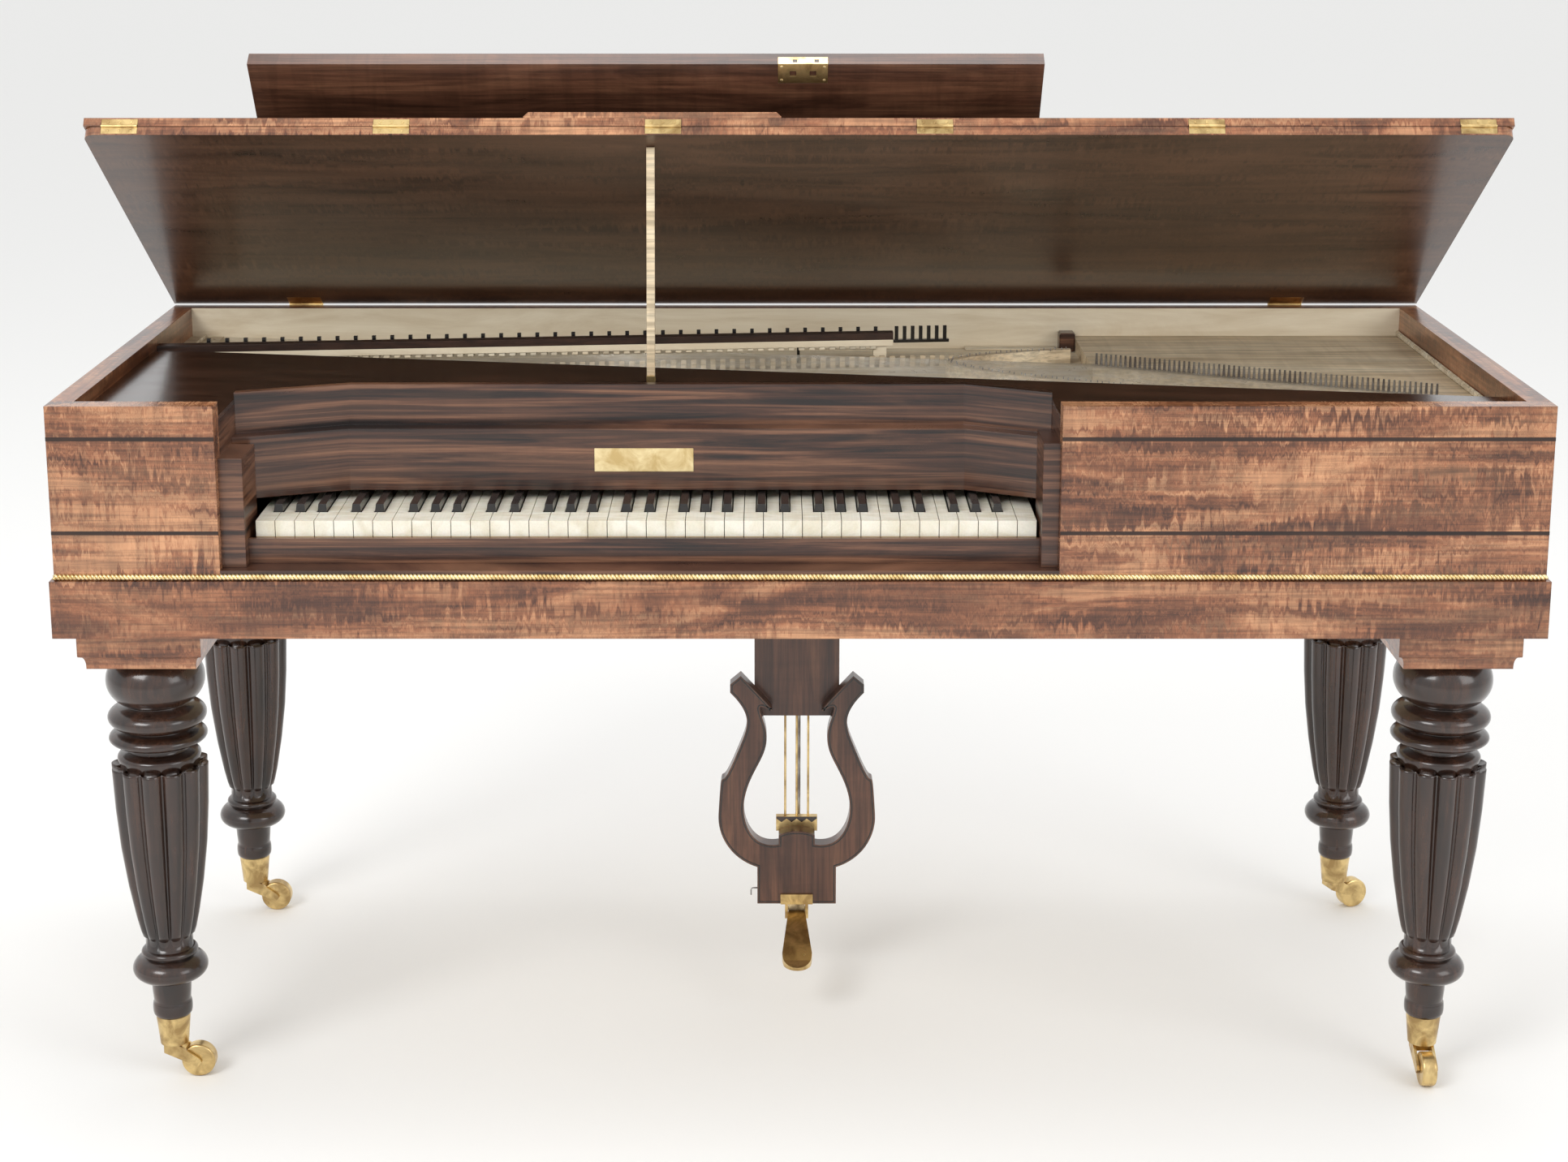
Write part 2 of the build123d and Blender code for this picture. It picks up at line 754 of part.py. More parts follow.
leg_places = {
    "leg_front_left": (-leg_x, front + leg_front_setback),
    "leg_front_right": (leg_x, front + leg_front_setback),
    "leg_rear_left": (-leg_x, leg_back_y),
    "leg_rear_right": (leg_x, leg_back_y),
}
step_top = rail_bottom - leg_block_height
bulb_top = step_top - leg_step_height
ring_mid = (leg_bulb_bottom + leg_ring_bottom) / 2
upper_lip = lip_r(leg_bulb_r, leg_bulb_bottom, leg_ring_bottom)
lower_lip = lip_r(leg_bulb_r, leg_ring_bottom, leg_neck_top)
small_lip = lip_r(small_ring_r, shank_bottom, small_ring_bottom)
big_lip = lip_r(big_ring_r, small_ring_bottom, big_ring_bottom)
for leg_name, (x, y) in leg_places.items():
    leg_section = Plane(origin=(x, y, 0), x_dir=(1, 0, 0), z_dir=(0, -1, 0))
    leg_axis = Axis((x, y, 0), (0, 0, 1))
    with BuildPart() as leg:
        with BuildSketch(Plane((x, y, step_top))):
            Rectangle(leg_block, leg_block)
        extrude(amount=leg_block_height)
        with BuildSketch(Plane((x, y, bulb_top))):
            Rectangle(leg_block - 2 * leg_step_inset, leg_block - 2 * leg_step_inset)
        extrude(amount=leg_step_height)
        with BuildSketch(leg_section):
            with BuildLine():
                Line((0, leg_petal_top), (0, bulb_top))
                Line((0, bulb_top), (leg_neck_r + 7, bulb_top))
                ThreePointArc((leg_neck_r + 7, bulb_top), (leg_bulb_r, (bulb_top + leg_bulb_bottom) / 2),
                              (leg_neck_r, leg_bulb_bottom))
                Line((leg_neck_r, leg_bulb_bottom), (upper_lip, leg_bulb_bottom))
                ThreePointArc((upper_lip, leg_bulb_bottom), (leg_bulb_r, ring_mid), (upper_lip, leg_ring_bottom))
                Line((upper_lip, leg_ring_bottom), (lower_lip, leg_ring_bottom))
                ThreePointArc((lower_lip, leg_ring_bottom), (leg_bulb_r, (leg_ring_bottom + leg_neck_top) / 2),
                              (lower_lip, leg_neck_top))
                Line((lower_lip, leg_neck_top), (leg_neck_r - 3, leg_neck_top))
                Line((leg_neck_r - 3, leg_neck_top), (leg_neck_r - 3, leg_neck_bottom))
                ThreePointArc((leg_neck_r - 3, leg_neck_bottom),
                              (leg_collar_r, (leg_neck_bottom + leg_petal_top) / 2 + 3),
                              (leg_collar_r, leg_petal_top))
                Line((leg_collar_r, leg_petal_top), (0, leg_petal_top))
            make_face()
        revolve(axis=leg_axis)
        for reed_z, reed_r in reed_sections:
            with BuildSketch(Plane((x, y, reed_z))):
                with BuildLine():
                    Polyline(*reed_outline(reed_r), close=True)
                make_face()
        loft(ruled=True)
        with BuildSketch(leg_section):
            with BuildLine():
                Line((0, ferrule_top), (0, reed_sections[-1][0]))
                Line((0, reed_sections[-1][0]), (shank_r, reed_sections[-1][0]))
                Line((shank_r, reed_sections[-1][0]), (shank_r, shank_bottom))
                Line((shank_r, shank_bottom), (small_lip, shank_bottom))
                ThreePointArc((small_lip, shank_bottom), (small_ring_r, (shank_bottom + small_ring_bottom) / 2),
                              (small_lip, small_ring_bottom))
                Line((small_lip, small_ring_bottom), (big_lip, small_ring_bottom))
                ThreePointArc((big_lip, small_ring_bottom), (big_ring_r, (small_ring_bottom + big_ring_bottom) / 2),
                              (big_lip, big_ring_bottom))
                Line((big_lip, big_ring_bottom), (ankle_r, big_ring_bottom))
                Line((ankle_r, big_ring_bottom), (bead_neck_r, bead_top))
                ThreePointArc((bead_neck_r, bead_top), (bead_r, (bead_top + ferrule_top) / 2),
                              (bead_neck_r, ferrule_top))
                Line((bead_neck_r, ferrule_top), (0, ferrule_top))
            make_face()
        revolve(axis=leg_axis)
    leg.part.label = leg_name
    export_step(leg.part, f"parts/{leg_name}.step")

# Brass ferrules under the legs, bored for the casters' stems
ferrule_bottom = crown_top + ferrule_gap
with BuildPart() as ferrules:
    for x, y in leg_places.values():
        with BuildSketch(Plane((x, y, ferrule_bottom))):
            Circle(ferrule_bottom_r)
        with BuildSketch(Plane((x, y, ferrule_top))):
            Circle(ferrule_top_r)
        loft()
        with BuildSketch(Plane((x, y, ferrule_bottom))):
            Circle(stem_r + stem_clearance)
        extrude(amount=stem_length + stem_clearance, mode=Mode.SUBTRACT)
ferrules.part.label = "ferrules"
export_step(ferrules.part, "parts/ferrules.step")

# Casters: each fork has a stem, a crown, two cheeks and an axle, and trails to one side
trail_angles = {"front_left": 0.0, "front_right": -90.0, "rear_left": 0.0, "rear_right": 20.0}
fork_half = wheel_width / 2 + wheel_gap
for place, turn in trail_angles.items():
    x, y = leg_places["leg_" + place]
    swivel = Plane(origin=(x, y, 0), x_dir=(math.cos(math.radians(turn)), math.sin(math.radians(turn)), 0),
                   z_dir=(0, 0, 1))
    fork_side = Plane(origin=swivel.origin, x_dir=swivel.x_dir, z_dir=-swivel.y_dir)
    with BuildPart() as fork:
        with BuildSketch(swivel.offset(crown_top)):
            Circle(stem_r)
        extrude(amount=stem_length)
        with BuildSketch(swivel.offset(crown_top - crown_height)):
            with Locations(((crown_front - crown_back) / 2, 0)):
                Rectangle(crown_front + crown_back, 2 * (fork_half + fork_plate))
        extrude(amount=crown_height)
        for side in (-1, 1):
            plate_mid = side * (fork_half + fork_plate / 2)
            with BuildSketch(fork_side.offset(plate_mid)):
                with BuildLine():
                    Polyline((-crown_back, crown_top), (crown_front, crown_top), (wheel_trail + 2, wheel_r + 5),
                             (wheel_trail + 5, wheel_r), (wheel_trail, wheel_r - 6), (-crown_back, crown_top - crown_height),
                             close=True)
                make_face()
            extrude(amount=fork_plate / 2, both=True)
        with BuildSketch(fork_side):
            with Locations((wheel_trail, wheel_r)):
                Circle(axle_r)
        extrude(amount=fork_half, both=True)
    fork.part.label = "caster_fork_" + place
    export_step(fork.part, f"parts/caster_fork_{place}.step")

    with BuildPart() as wheel:
        with BuildSketch(fork_side):
            with Locations((wheel_trail, wheel_r)):
                Circle(wheel_r)
        extrude(amount=wheel_width / 2, both=True)
        fillet(wheel.edges().filter_by(GeomType.CIRCLE), radius=wheel_width / 6)
        with BuildSketch(fork_side):
            with Locations((wheel_trail, wheel_r)):
                Circle(wheel_bore_r)
        extrude(amount=wheel_width, both=True, mode=Mode.SUBTRACT)
    wheel.part.label = "caster_wheel_" + place
    export_step(wheel.part, f"parts/caster_wheel_{place}.step")

# Lyre: two curved arms, a block with a rounded boss, and the board that hangs it from the planks
lyre_y = front + lyre_setback
lyre_face = Plane(origin=(0, lyre_y, 0), x_dir=(1, 0, 0), z_dir=(0, -1, 0))
block_half = lyre_block_width / 2
boss_half = 24.0
arm_outer = [(88.0, 415.0), (66.0, 376.0), (lyre_half_width, 245.0), (block_half, lyre_block_top)]
arm_waist = [(75.0, 341.0), (95.5, 296.5)]
arm_inner = [(boss_half, 203.0), (70.0, 245.0), (42.0, 368.0), (74.0, 438.0)]
arm_tip = (88.0, 426.0)
with BuildPart() as lyre:
    with BuildSketch(lyre_face):
        with BuildLine():
            Line(arm_inner[3], arm_tip)
            Line(arm_tip, arm_outer[0])
            Spline(arm_outer[0], arm_outer[1], *arm_waist, arm_outer[2],
                   tangents=((-0.7, -0.7), (0.06, -1)))
            ThreePointArc(arm_outer[2], (90.0, 198.0), arm_outer[3])
            Line(arm_outer[3], (block_half, lyre_block_bottom))
            Line((block_half, lyre_block_bottom), (0, lyre_block_bottom))
            Line((0, lyre_block_bottom), (0, 221.0))
            ThreePointArc((0, 221.0), (13.0, 220.0), (boss_half, 216.0))
            Line((boss_half, 216.0), arm_inner[0])
            Spline(arm_inner[0], (50.0, 207.0), arm_inner[1], (55.0, 308.0), arm_inner[2], (48.0, 395.0),
                   arm_inner[3], tangents=((1, -0.2), (0.7, 0.75)))
        make_face()
        mirror(about=Plane.YZ)
    extrude(amount=-lyre_thick)
    board_y = lyre_y + lyre_thick
    block(-lyre_board_width / 2, lyre_board_width / 2, board_y, board_y + lyre_board_thick,
          lyre_board_bottom, rail_bottom)
lyre.part.label = "lyre"
export_step(lyre.part, "parts/lyre.step")

# Lyre fittings: brass plate behind the boss, three rods, and the pedal's plate, ears and pin
rod_line_y = board_y + lyre_board_thick / 2
pin_y = front + pedal_pin_setback
ear_inner = pedal_neck_width / 2 + pedal_ear_gap
with BuildPart() as lyre_fittings:
    block(-lyre_plate_width / 2, lyre_plate_width / 2, board_y, board_y + lyre_plate_thick,
          lyre_plate_top - lyre_plate_height, lyre_plate_top)
    with BuildSketch(Plane.XY.offset(lyre_plate_top)):
        with Locations(*[(k * lyre_rod_step, rod_line_y) for k in (-1, 0, 1)]):
            Circle(lyre_rod_r)
    extrude(amount=lyre_board_bottom - lyre_plate_top)
    block(-pedal_plate_width / 2, pedal_plate_width / 2, lyre_y - pedal_plate_thick, lyre_y,
          lyre_block_bottom, lyre_block_bottom + pedal_plate_height)
    for side in (-1, 1):
        x0, x1 = sorted((side * ear_inner, side * (ear_inner + pedal_ear_thick)))
        block(x0, x1, lyre_y - pedal_plate_thick, pin_y + pedal_ear_reach,
              pedal_pin_z - pedal_ear_reach, lyre_block_bottom)
    with BuildSketch(Plane.YZ.offset(-ear_inner)):
        with Locations((pin_y, pedal_pin_z)):
            Circle(pedal_pin_r)
    extrude(amount=2 * ear_inner)
lyre_fittings.part.label = "lyre_fittings"
export_step(lyre_fittings.part, "parts/lyre_fittings.step")

# Pedal: its plan widens to a round toe, and its side drops from the pin to the toe
tail_y = pin_y + pedal_tail_length
tip_y = front + pedal_tip_setback
bend_y = tip_y + pedal_toe_width / 2
toe_y = tip_y + pedal_toe_length
pedal_top_z = pedal_pin_z + pedal_thick / 2
with BuildPart() as pedal:
    with BuildSketch(Plane.YZ.offset(-pedal_toe_width / 2)):
        with BuildLine():
            Polyline(
                (tail_y, pedal_top_z),
                (lyre_y - pedal_plate_thick, pedal_top_z),
                (bend_y, pedal_tip_z + 2),
                (tip_y, pedal_tip_z),
                (tip_y, pedal_tip_z - pedal_thick / 2),
                (bend_y, pedal_tip_z - pedal_thick + 2),
                (lyre_y, pedal_top_z - pedal_thick),
                (tail_y, pedal_top_z - pedal_thick),
                close=True,
            )
        make_face()
    extrude(amount=pedal_toe_width)
    with BuildSketch(Plane.XY.offset(pedal_tip_z - pedal_thick)):
        with BuildLine():
            Line((pedal_neck_width / 2, tail_y), (pedal_neck_width / 2, lyre_y - pedal_plate_thick))
            Line((pedal_neck_width / 2, lyre_y - pedal_plate_thick), (pedal_toe_width / 2, toe_y))
            Bezier((pedal_toe_width / 2, toe_y), (pedal_toe_width / 2, tip_y + pedal_toe_length * 0.45),
                   (pedal_toe_width * 0.28, tip_y), (0, tip_y))
            Bezier((0, tip_y), (-pedal_toe_width * 0.28, tip_y),
                   (-pedal_toe_width / 2, tip_y + pedal_toe_length * 0.45), (-pedal_toe_width / 2, toe_y))
            Line((-pedal_toe_width / 2, toe_y), (-pedal_neck_width / 2, lyre_y - pedal_plate_thick))
            Line((-pedal_neck_width / 2, lyre_y - pedal_plate_thick), (-pedal_neck_width / 2, tail_y))
            Line((-pedal_neck_width / 2, tail_y), (pedal_neck_width / 2, tail_y))
        make_face()
    extrude(amount=pedal_pin_z - pedal_tip_z + 2 * pedal_thick, mode=Mode.INTERSECT)
    with BuildSketch(Plane.YZ.offset(-pedal_neck_width / 2)):
        with Locations((pin_y, pedal_pin_z)):
            Circle(pedal_pin_r + pedal_bore_clearance + 1.5)
    extrude(amount=pedal_neck_width)
    with BuildSketch(Plane.YZ.offset(-pedal_neck_width / 2)):
        with Locations((pin_y, pedal_pin_z)):
            Circle(pedal_pin_r + pedal_bore_clearance)
    extrude(amount=pedal_neck_width, mode=Mode.SUBTRACT)
pedal.part.label = "pedal"
export_step(pedal.part, "parts/pedal.step")

# Pedal rod: from just over the pedal's tail, through the planks, to just under the lift arm
with BuildPart() as pedal_rod:
    with BuildSketch(Plane.XY.offset(pedal_top_z + rest_gap)):
        with Locations((rod_x, rod_y)):
            Circle(rod_r)
    extrude(amount=lift_arm_bottom - pedal_top_z - 2 * rest_gap)
pedal_rod.part.label = "pedal_rod"
export_step(pedal_rod.part, "parts/pedal_rod.step")

# Lid frame: X along the hinge, local -Y up the lid's slope to its front edge, local Z out of its top
hinge_y = back + lid_hinge_gap
hinge_z = case_top + lid_seat_gap
open_rad = math.radians(lid_open)
lid_plane = Plane(origin=(0, hinge_y, hinge_z), x_dir=(1, 0, 0), z_dir=(0, math.sin(open_rad), math.cos(open_rad)))
fold_u = lid_length + fold_gap
fold_w = lid_thick + flap_gap / 2
flap_bottom = lid_thick + flap_gap
flap_top = flap_bottom + lid_thick
flap_hinge_reach = lid_half - flap_hinge_end_inset
flap_hinge_xs = [flap_hinge_reach * (2 * k / (flap_hinge_count - 1) - 1) for k in range(flap_hinge_count)]


# Lockboard frame: it starts on the flap's far edge and leans forward over the flap
axis_lift = 0.5
lock_u = lid_length - flap_depth + lockboard_inset
lock_w = flap_top + axis_lift
lock_origin = lid_plane.from_local_coords(Vector(lockboard_x, -lock_u, lock_w))
lock_rad = math.radians(lid_open + lockboard_lean)
lock_plane = Plane(origin=lock_origin, x_dir=(1, 0, 0), z_dir=(0, math.sin(lock_rad), math.cos(lock_rad)))
lock_hinge_xs = [-lock_hinge_step, 0.0, lock_hinge_step]
lock_top = lockboard_height + axis_lift
leaf_reach = hinge_barrel_r + hinge_leaf_height
barrel_room = hinge_barrel_r + knuckle_gap
knuckle = flap_hinge_width / 3
pocket_half = flap_hinge_width / 2 + knuckle_gap
fold_lead = fold_u - lid_length


def section_at(plane, local_point):
    """A plane across a hinge: its X follows the given frame's Y, and its normal is the hinge's axis."""
    return Plane(origin=plane.from_local_coords(Vector(*local_point)), x_dir=plane.y_dir, z_dir=(1, 0, 0))


def hinge_half(section, centres, width, barrel_r, leaf, outer):
    """Half of each butt hinge: leaf corners (x0, x1, y0, y1) round the axis, and outer or middle knuckles."""
    x0, x1, y0, y1 = leaf
    third = width / 3
    halves = []
    for centre in centres:
        with BuildPart() as half_hinge:
            for k in range(3):
                holds = (k != 1) == outer
                with BuildSketch(section.offset(centre - width / 2 + k * third)):
                    with Locations(((x0 + x1) / 2, (y0 + y1) / 2)):
                        Rectangle(x1 - x0, y1 - y0)
                    if holds:
                        Circle(barrel_r)
                    else:
                        Circle(barrel_r + knuckle_gap, mode=Mode.SUBTRACT)
                extrude(amount=third)
            with BuildSketch(section.offset(centre - third / 2 - hinge_play)):
                Circle(hinge_pin_r if outer else hinge_pin_r + hinge_play)
            extrude(amount=third + 2 * hinge_play, mode=Mode.ADD if outer else Mode.SUBTRACT)
        halves.append(half_hinge.part)
    return halves


flap_section = section_at(lid_plane, (0, -fold_u, fold_w))
butt_section = section_at(lid_plane, (0, 0, 0))
back_section = Plane(origin=(0, hinge_y, hinge_z), x_dir=(0, 1, 0), z_dir=(1, 0, 0))
lock_flap_section = section_at(lid_plane, (lockboard_x, -lock_u, lock_w))
lock_board_section = section_at(lock_plane, (0, 0, 0))
leaf_far = fold_lead + hinge_leaf_thick
leaf_seat = axis_lift + hinge_leaf_thick

with BuildPart(lid_plane) as lid:
    block(-lid_half, lid_half, -lid_length, -lid_hinge_gap, 0, lid_thick)
    fillet(lid.edges().filter_by(Axis(lid_plane.origin, lid_plane.z_dir)).sort_by(Axis.Y)[:2], radius=lid_corner_r)
    for x in flap_hinge_xs:
        block(x - pocket_half, x + pocket_half, -lid_length, -lid_length + hinge_leaf_thick,
              fold_w - leaf_reach, lid_thick, mode=Mode.SUBTRACT)
    for x in (-butt_x, butt_x):
        block(x - butt_width / 2, x + butt_width / 2, -butt_leaf - lid_hinge_gap, -lid_hinge_gap,
              0, butt_leaf_thick, mode=Mode.SUBTRACT)
lid.part.label = "lid"
export_step(lid.part, "parts/lid.step")

with BuildPart(lid_plane) as flap:
    block(-lid_half, lid_half, -lid_length, -lid_length + flap_depth, flap_bottom, flap_top)
    fillet(flap.edges().filter_by(Axis(lid_plane.origin, lid_plane.z_dir)).sort_by(Axis.Y)[-2:], radius=lid_corner_r)
    for x in flap_hinge_xs:
        block(x - pocket_half, x + pocket_half, -lid_length, -lid_length + hinge_leaf_thick,
              flap_bottom, fold_w + leaf_reach, mode=Mode.SUBTRACT)
    for x in lock_hinge_xs:
        x = x + lockboard_x
        block(x - pocket_half, x + pocket_half, -lock_u - barrel_room, -lock_u + barrel_room,
              lock_w - barrel_room, flap_top, mode=Mode.SUBTRACT)
        block(x - pocket_half, x + pocket_half, -lock_u, -lock_u + leaf_reach,
              lock_w - leaf_seat, flap_top, mode=Mode.SUBTRACT)
flap.part.label = "flap"
export_step(flap.part, "parts/flap.step")

# Hinge halves that ride on the lid: the flap's outer knuckles and the rear hinges' middle knuckles
lid_halves = hinge_half(flap_section, flap_hinge_xs, flap_hinge_width, hinge_barrel_r,
                        (fold_lead, leaf_far, -leaf_reach, 0), True)
lid_halves += hinge_half(butt_section, (-butt_x, butt_x), butt_width, butt_barrel_r,
                         (-lid_hinge_gap - butt_leaf, 0, 0, butt_leaf_thick), False)
with BuildPart() as lid_leaves:
    add(lid_halves)
lid_leaves.part.label = "lid_leaves"
export_step(lid_leaves.part, "parts/lid_leaves.step")

flap_halves = hinge_half(flap_section, flap_hinge_xs, flap_hinge_width, hinge_barrel_r,
                         (fold_lead, leaf_far, 0, leaf_reach), False)
flap_halves += hinge_half(lock_flap_section, lock_hinge_xs, flap_hinge_width, hinge_barrel_r,
                          (0, leaf_reach, -leaf_seat, -axis_lift), True)
with BuildPart() as flap_leaves:
    add(flap_halves)
flap_leaves.part.label = "flap_leaves"
export_step(flap_leaves.part, "parts/flap_leaves.step")

# Lockboard, with seats for its hinge leaves and for the lock plate on its inner face
lock_x = lock_plate_x - lockboard_x
with BuildPart(lock_plane) as lockboard:
    block(-lockboard_width / 2, lockboard_width / 2, -lock_top, -axis_lift, 0, lockboard_thick)
    for x in lock_hinge_xs:
        block(x - pocket_half, x + pocket_half, -barrel_room, 0, 0, barrel_room, mode=Mode.SUBTRACT)
        block(x - pocket_half, x + pocket_half, -leaf_seat, -axis_lift, 0, leaf_reach, mode=Mode.SUBTRACT)
    block(lock_x - lock_plate_width / 2, lock_x + lock_plate_width / 2, -lock_top,
          -lock_top + lock_plate_height, 0, lock_plate_thick, mode=Mode.SUBTRACT)
lockboard.part.label = "lockboard"
export_step(lockboard.part, "parts/lockboard.step")

board_halves = hinge_half(lock_board_section, lock_hinge_xs, flap_hinge_width, hinge_barrel_r,
                          (-leaf_seat, -axis_lift, 0, leaf_reach), False)
with BuildPart(lock_plane) as lock_plate:
    block(lock_x - lock_plate_width / 2, lock_x + lock_plate_width / 2, -lock_top,
          -lock_top + lock_plate_height, 0, lock_plate_thick)
    for side in (-1, 1):
        hole_x = lock_x + side * lock_plate_width / 5
        block(hole_x - lock_hole / 2, hole_x + lock_hole / 2, -lock_top + lock_plate_height / 2 - lock_hole / 2,
              -lock_top + lock_plate_height / 2 + lock_hole / 2, 0, lock_plate_thick, mode=Mode.SUBTRACT)
with BuildPart() as lock_fittings:
    add(lock_plate.part)
    add(board_halves)
lock_fittings.part.label = "lock_fittings"
export_step(lock_fittings.part, "parts/lock_fittings.step")

# Music ledge: a low strip with bevelled ends along the flap's hinged edge
with BuildPart(lid_plane) as music_ledge:
    block(ledge_x - ledge_width / 2, ledge_x + ledge_width / 2, -lid_length, -lid_length + ledge_depth,
          flap_top, flap_top + ledge_height)
    ledge_ends = music_ledge.faces().sort_by(Axis(lid_plane.origin, lid_plane.z_dir))[-1].edges()
    chamfer(ledge_ends.filter_by(GeomType.LINE).sort_by(Axis.X)[0::3], length=ledge_bevel)
music_ledge.part.label = "music_ledge"
export_step(music_ledge.part, "parts/music_ledge.step")

# Prop: a square stick that leans back and swings sideways on a pin along Y
prop_y = front + prop_base_setback
eye_r = prop_width / 2
prop_rad = math.radians(prop_lean)
prop_plane = Plane(origin=(prop_x, prop_y, prop_base_z), x_dir=(1, 0, 0),
                   z_dir=(0, math.sin(prop_rad), math.cos(prop_rad)))
prop_side = Plane(origin=(prop_x, prop_y, prop_base_z), x_dir=(1, 0, 0), z_dir=(0, -1, 0))
lid_drop = (Vector(prop_x, prop_y, prop_base_z) - lid_plane.origin).dot(lid_plane.z_dir)
prop_length = (-lid_drop - eye_r - prop_top_gap) / prop_plane.z_dir.dot(lid_plane.z_dir)
with BuildPart() as prop:
    with BuildSketch(prop_plane):
        Rectangle(prop_width, prop_width)
    extrude(amount=prop_length)
    with BuildSketch(Plane(origin=prop_plane.from_local_coords(Vector(-prop_width / 2, 0, prop_length)),
                           x_dir=prop_plane.y_dir, z_dir=(1, 0, 0))):
        Circle(prop_width / 2)
    extrude(amount=prop_width)
    with BuildSketch(prop_side):
        Circle(eye_r)
    extrude(amount=eye_r, both=True)
    with BuildSketch(prop_side):
        Circle(prop_pin_r + prop_clearance)
    extrude(amount=prop_width, both=True, mode=Mode.SUBTRACT)
prop.part.label = "prop"
export_step(prop.part, "parts/prop.step")

# Fittings on the case: the rear hinges' outer knuckles and the prop's bracket
ear_inner_y = eye_r + prop_ear_gap
ear_outer_y = ear_inner_y + prop_ear_thick
case_halves = hinge_half(back_section, (-butt_x, butt_x), butt_width, butt_barrel_r,
                         (-lid_hinge_gap, -lid_hinge_gap + butt_leaf_thick, -butt_leaf, 0), True)
with BuildPart() as prop_bracket:
    block(prop_x - eye_r, prop_x + eye_r, prop_y - ear_outer_y, prop_y + ear_outer_y,
          cover_top, prop_base_z - eye_r - rest_gap)
    for side in (-1, 1):
        y0, y1 = sorted((side * ear_inner_y, side * ear_outer_y))
        block(prop_x - eye_r, prop_x + eye_r, prop_y + y0, prop_y + y1, cover_top, prop_base_z + prop_pin_r + 1)
    with BuildSketch(prop_side):
        Circle(prop_pin_r)
    extrude(amount=ear_outer_y, both=True)
with BuildPart() as case_fittings:
    add(case_halves)
    add(prop_bracket.part)
case_fittings.part.label = "case_fittings"
export_step(case_fittings.part, "parts/case_fittings.step")
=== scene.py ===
"""Looks for the square piano: finishes for the CAD pieces, and the carved, twisted and small pieces."""

import math

import bmesh
import bpy
from mathutils import Matrix, Vector


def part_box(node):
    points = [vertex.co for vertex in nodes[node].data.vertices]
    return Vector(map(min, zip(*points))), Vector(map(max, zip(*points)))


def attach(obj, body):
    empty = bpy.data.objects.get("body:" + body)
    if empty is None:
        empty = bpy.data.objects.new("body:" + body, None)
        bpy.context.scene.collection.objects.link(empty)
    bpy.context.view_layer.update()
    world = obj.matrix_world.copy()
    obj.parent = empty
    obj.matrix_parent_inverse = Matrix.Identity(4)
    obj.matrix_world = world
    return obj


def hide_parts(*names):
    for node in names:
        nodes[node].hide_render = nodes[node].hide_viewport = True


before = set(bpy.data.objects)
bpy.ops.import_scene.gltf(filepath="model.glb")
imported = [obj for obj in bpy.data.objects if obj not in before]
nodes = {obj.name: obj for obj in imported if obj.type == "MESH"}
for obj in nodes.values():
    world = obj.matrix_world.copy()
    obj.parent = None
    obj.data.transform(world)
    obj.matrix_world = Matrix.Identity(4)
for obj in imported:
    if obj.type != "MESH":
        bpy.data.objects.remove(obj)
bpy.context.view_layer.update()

# Places read from the frame, in metres
FRONT_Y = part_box("front_boards")[0].y
BACK_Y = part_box("back_board")[1].y
CASE_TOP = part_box("back_board")[1].z
RAIL_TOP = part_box("base_rail")[1].z
RAIL_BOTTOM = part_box("base_rail")[0].z
HALF_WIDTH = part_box("back_board")[1].x
WELL_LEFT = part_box("key_frame")[0].x
WELL_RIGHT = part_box("key_frame")[1].x
LID_OPEN = math.radians(33)


def new_material(name):
    """An empty node material with a principled shader, and its tree."""
    material = bpy.data.materials.new(name)
    material.use_nodes = True
    tree = material.node_tree
    tree.nodes.clear()
    output = tree.nodes.new("ShaderNodeOutputMaterial")
    shader = tree.nodes.new("ShaderNodeBsdfPrincipled")
    tree.links.new(shader.outputs[0], output.inputs[0])
    return material, tree, shader


def stretched(tree, scale, shift=None):
    """Object coordinates, moved by a shift in metres and scaled on each axis."""
    place = tree.nodes.new("ShaderNodeTexCoord")
    mapping = tree.nodes.new("ShaderNodeMapping")
    mapping.inputs["Scale"].default_value = scale
    source = place.outputs["Object"]
    if shift is not None:
        moved = tree.nodes.new("ShaderNodeVectorMath")
        moved.operation = "ADD"
        tree.links.new(source, moved.inputs[0])
        tree.links.new(shift, moved.inputs[1])
        source = moved.outputs["Vector"]
    tree.links.new(source, mapping.inputs["Vector"])
    return mapping.outputs["Vector"]


def noise(tree, scale, size, detail=4.0, distortion=0.0, roughness=0.55, shift=None):
    """Noise over stretched object coordinates."""
    node = tree.nodes.new("ShaderNodeTexNoise")
    node.inputs["Scale"].default_value = size
    node.inputs["Detail"].default_value = detail
    node.inputs["Roughness"].default_value = roughness
    node.inputs["Distortion"].default_value = distortion
    tree.links.new(stretched(tree, scale, shift), node.inputs["Vector"])
    return node.outputs["Fac"]


def ramp(tree, source, stops):
    """A colour ramp: stops are (position, colour)."""
    node = tree.nodes.new("ShaderNodeValToRGB")
    while len(node.color_ramp.elements) < len(stops):
        node.color_ramp.elements.new(0.5)
    for element, (position, colour) in zip(node.color_ramp.elements, stops):
        element.position = position
        element.color = (*colour, 1.0) if len(colour) == 3 else colour
    tree.links.new(source, node.inputs["Fac"])
    return node.outputs["Color"]


def mix(tree, factor, a, b, blend="MIX"):
    """Two colours mixed by a number or a socket."""
    node = tree.nodes.new("ShaderNodeMix")
    node.data_type = "RGBA"
    node.blend_type = blend
    for socket, value in ((node.inputs[0], factor), (node.inputs[6], a), (node.inputs[7], b)):
        if hasattr(value, "is_linked"):
            tree.links.new(value, socket)
        elif isinstance(value, (int, float)):
            socket.default_value = value
        else:
            socket.default_value = (*value, 1.0)
    return node.outputs[2]


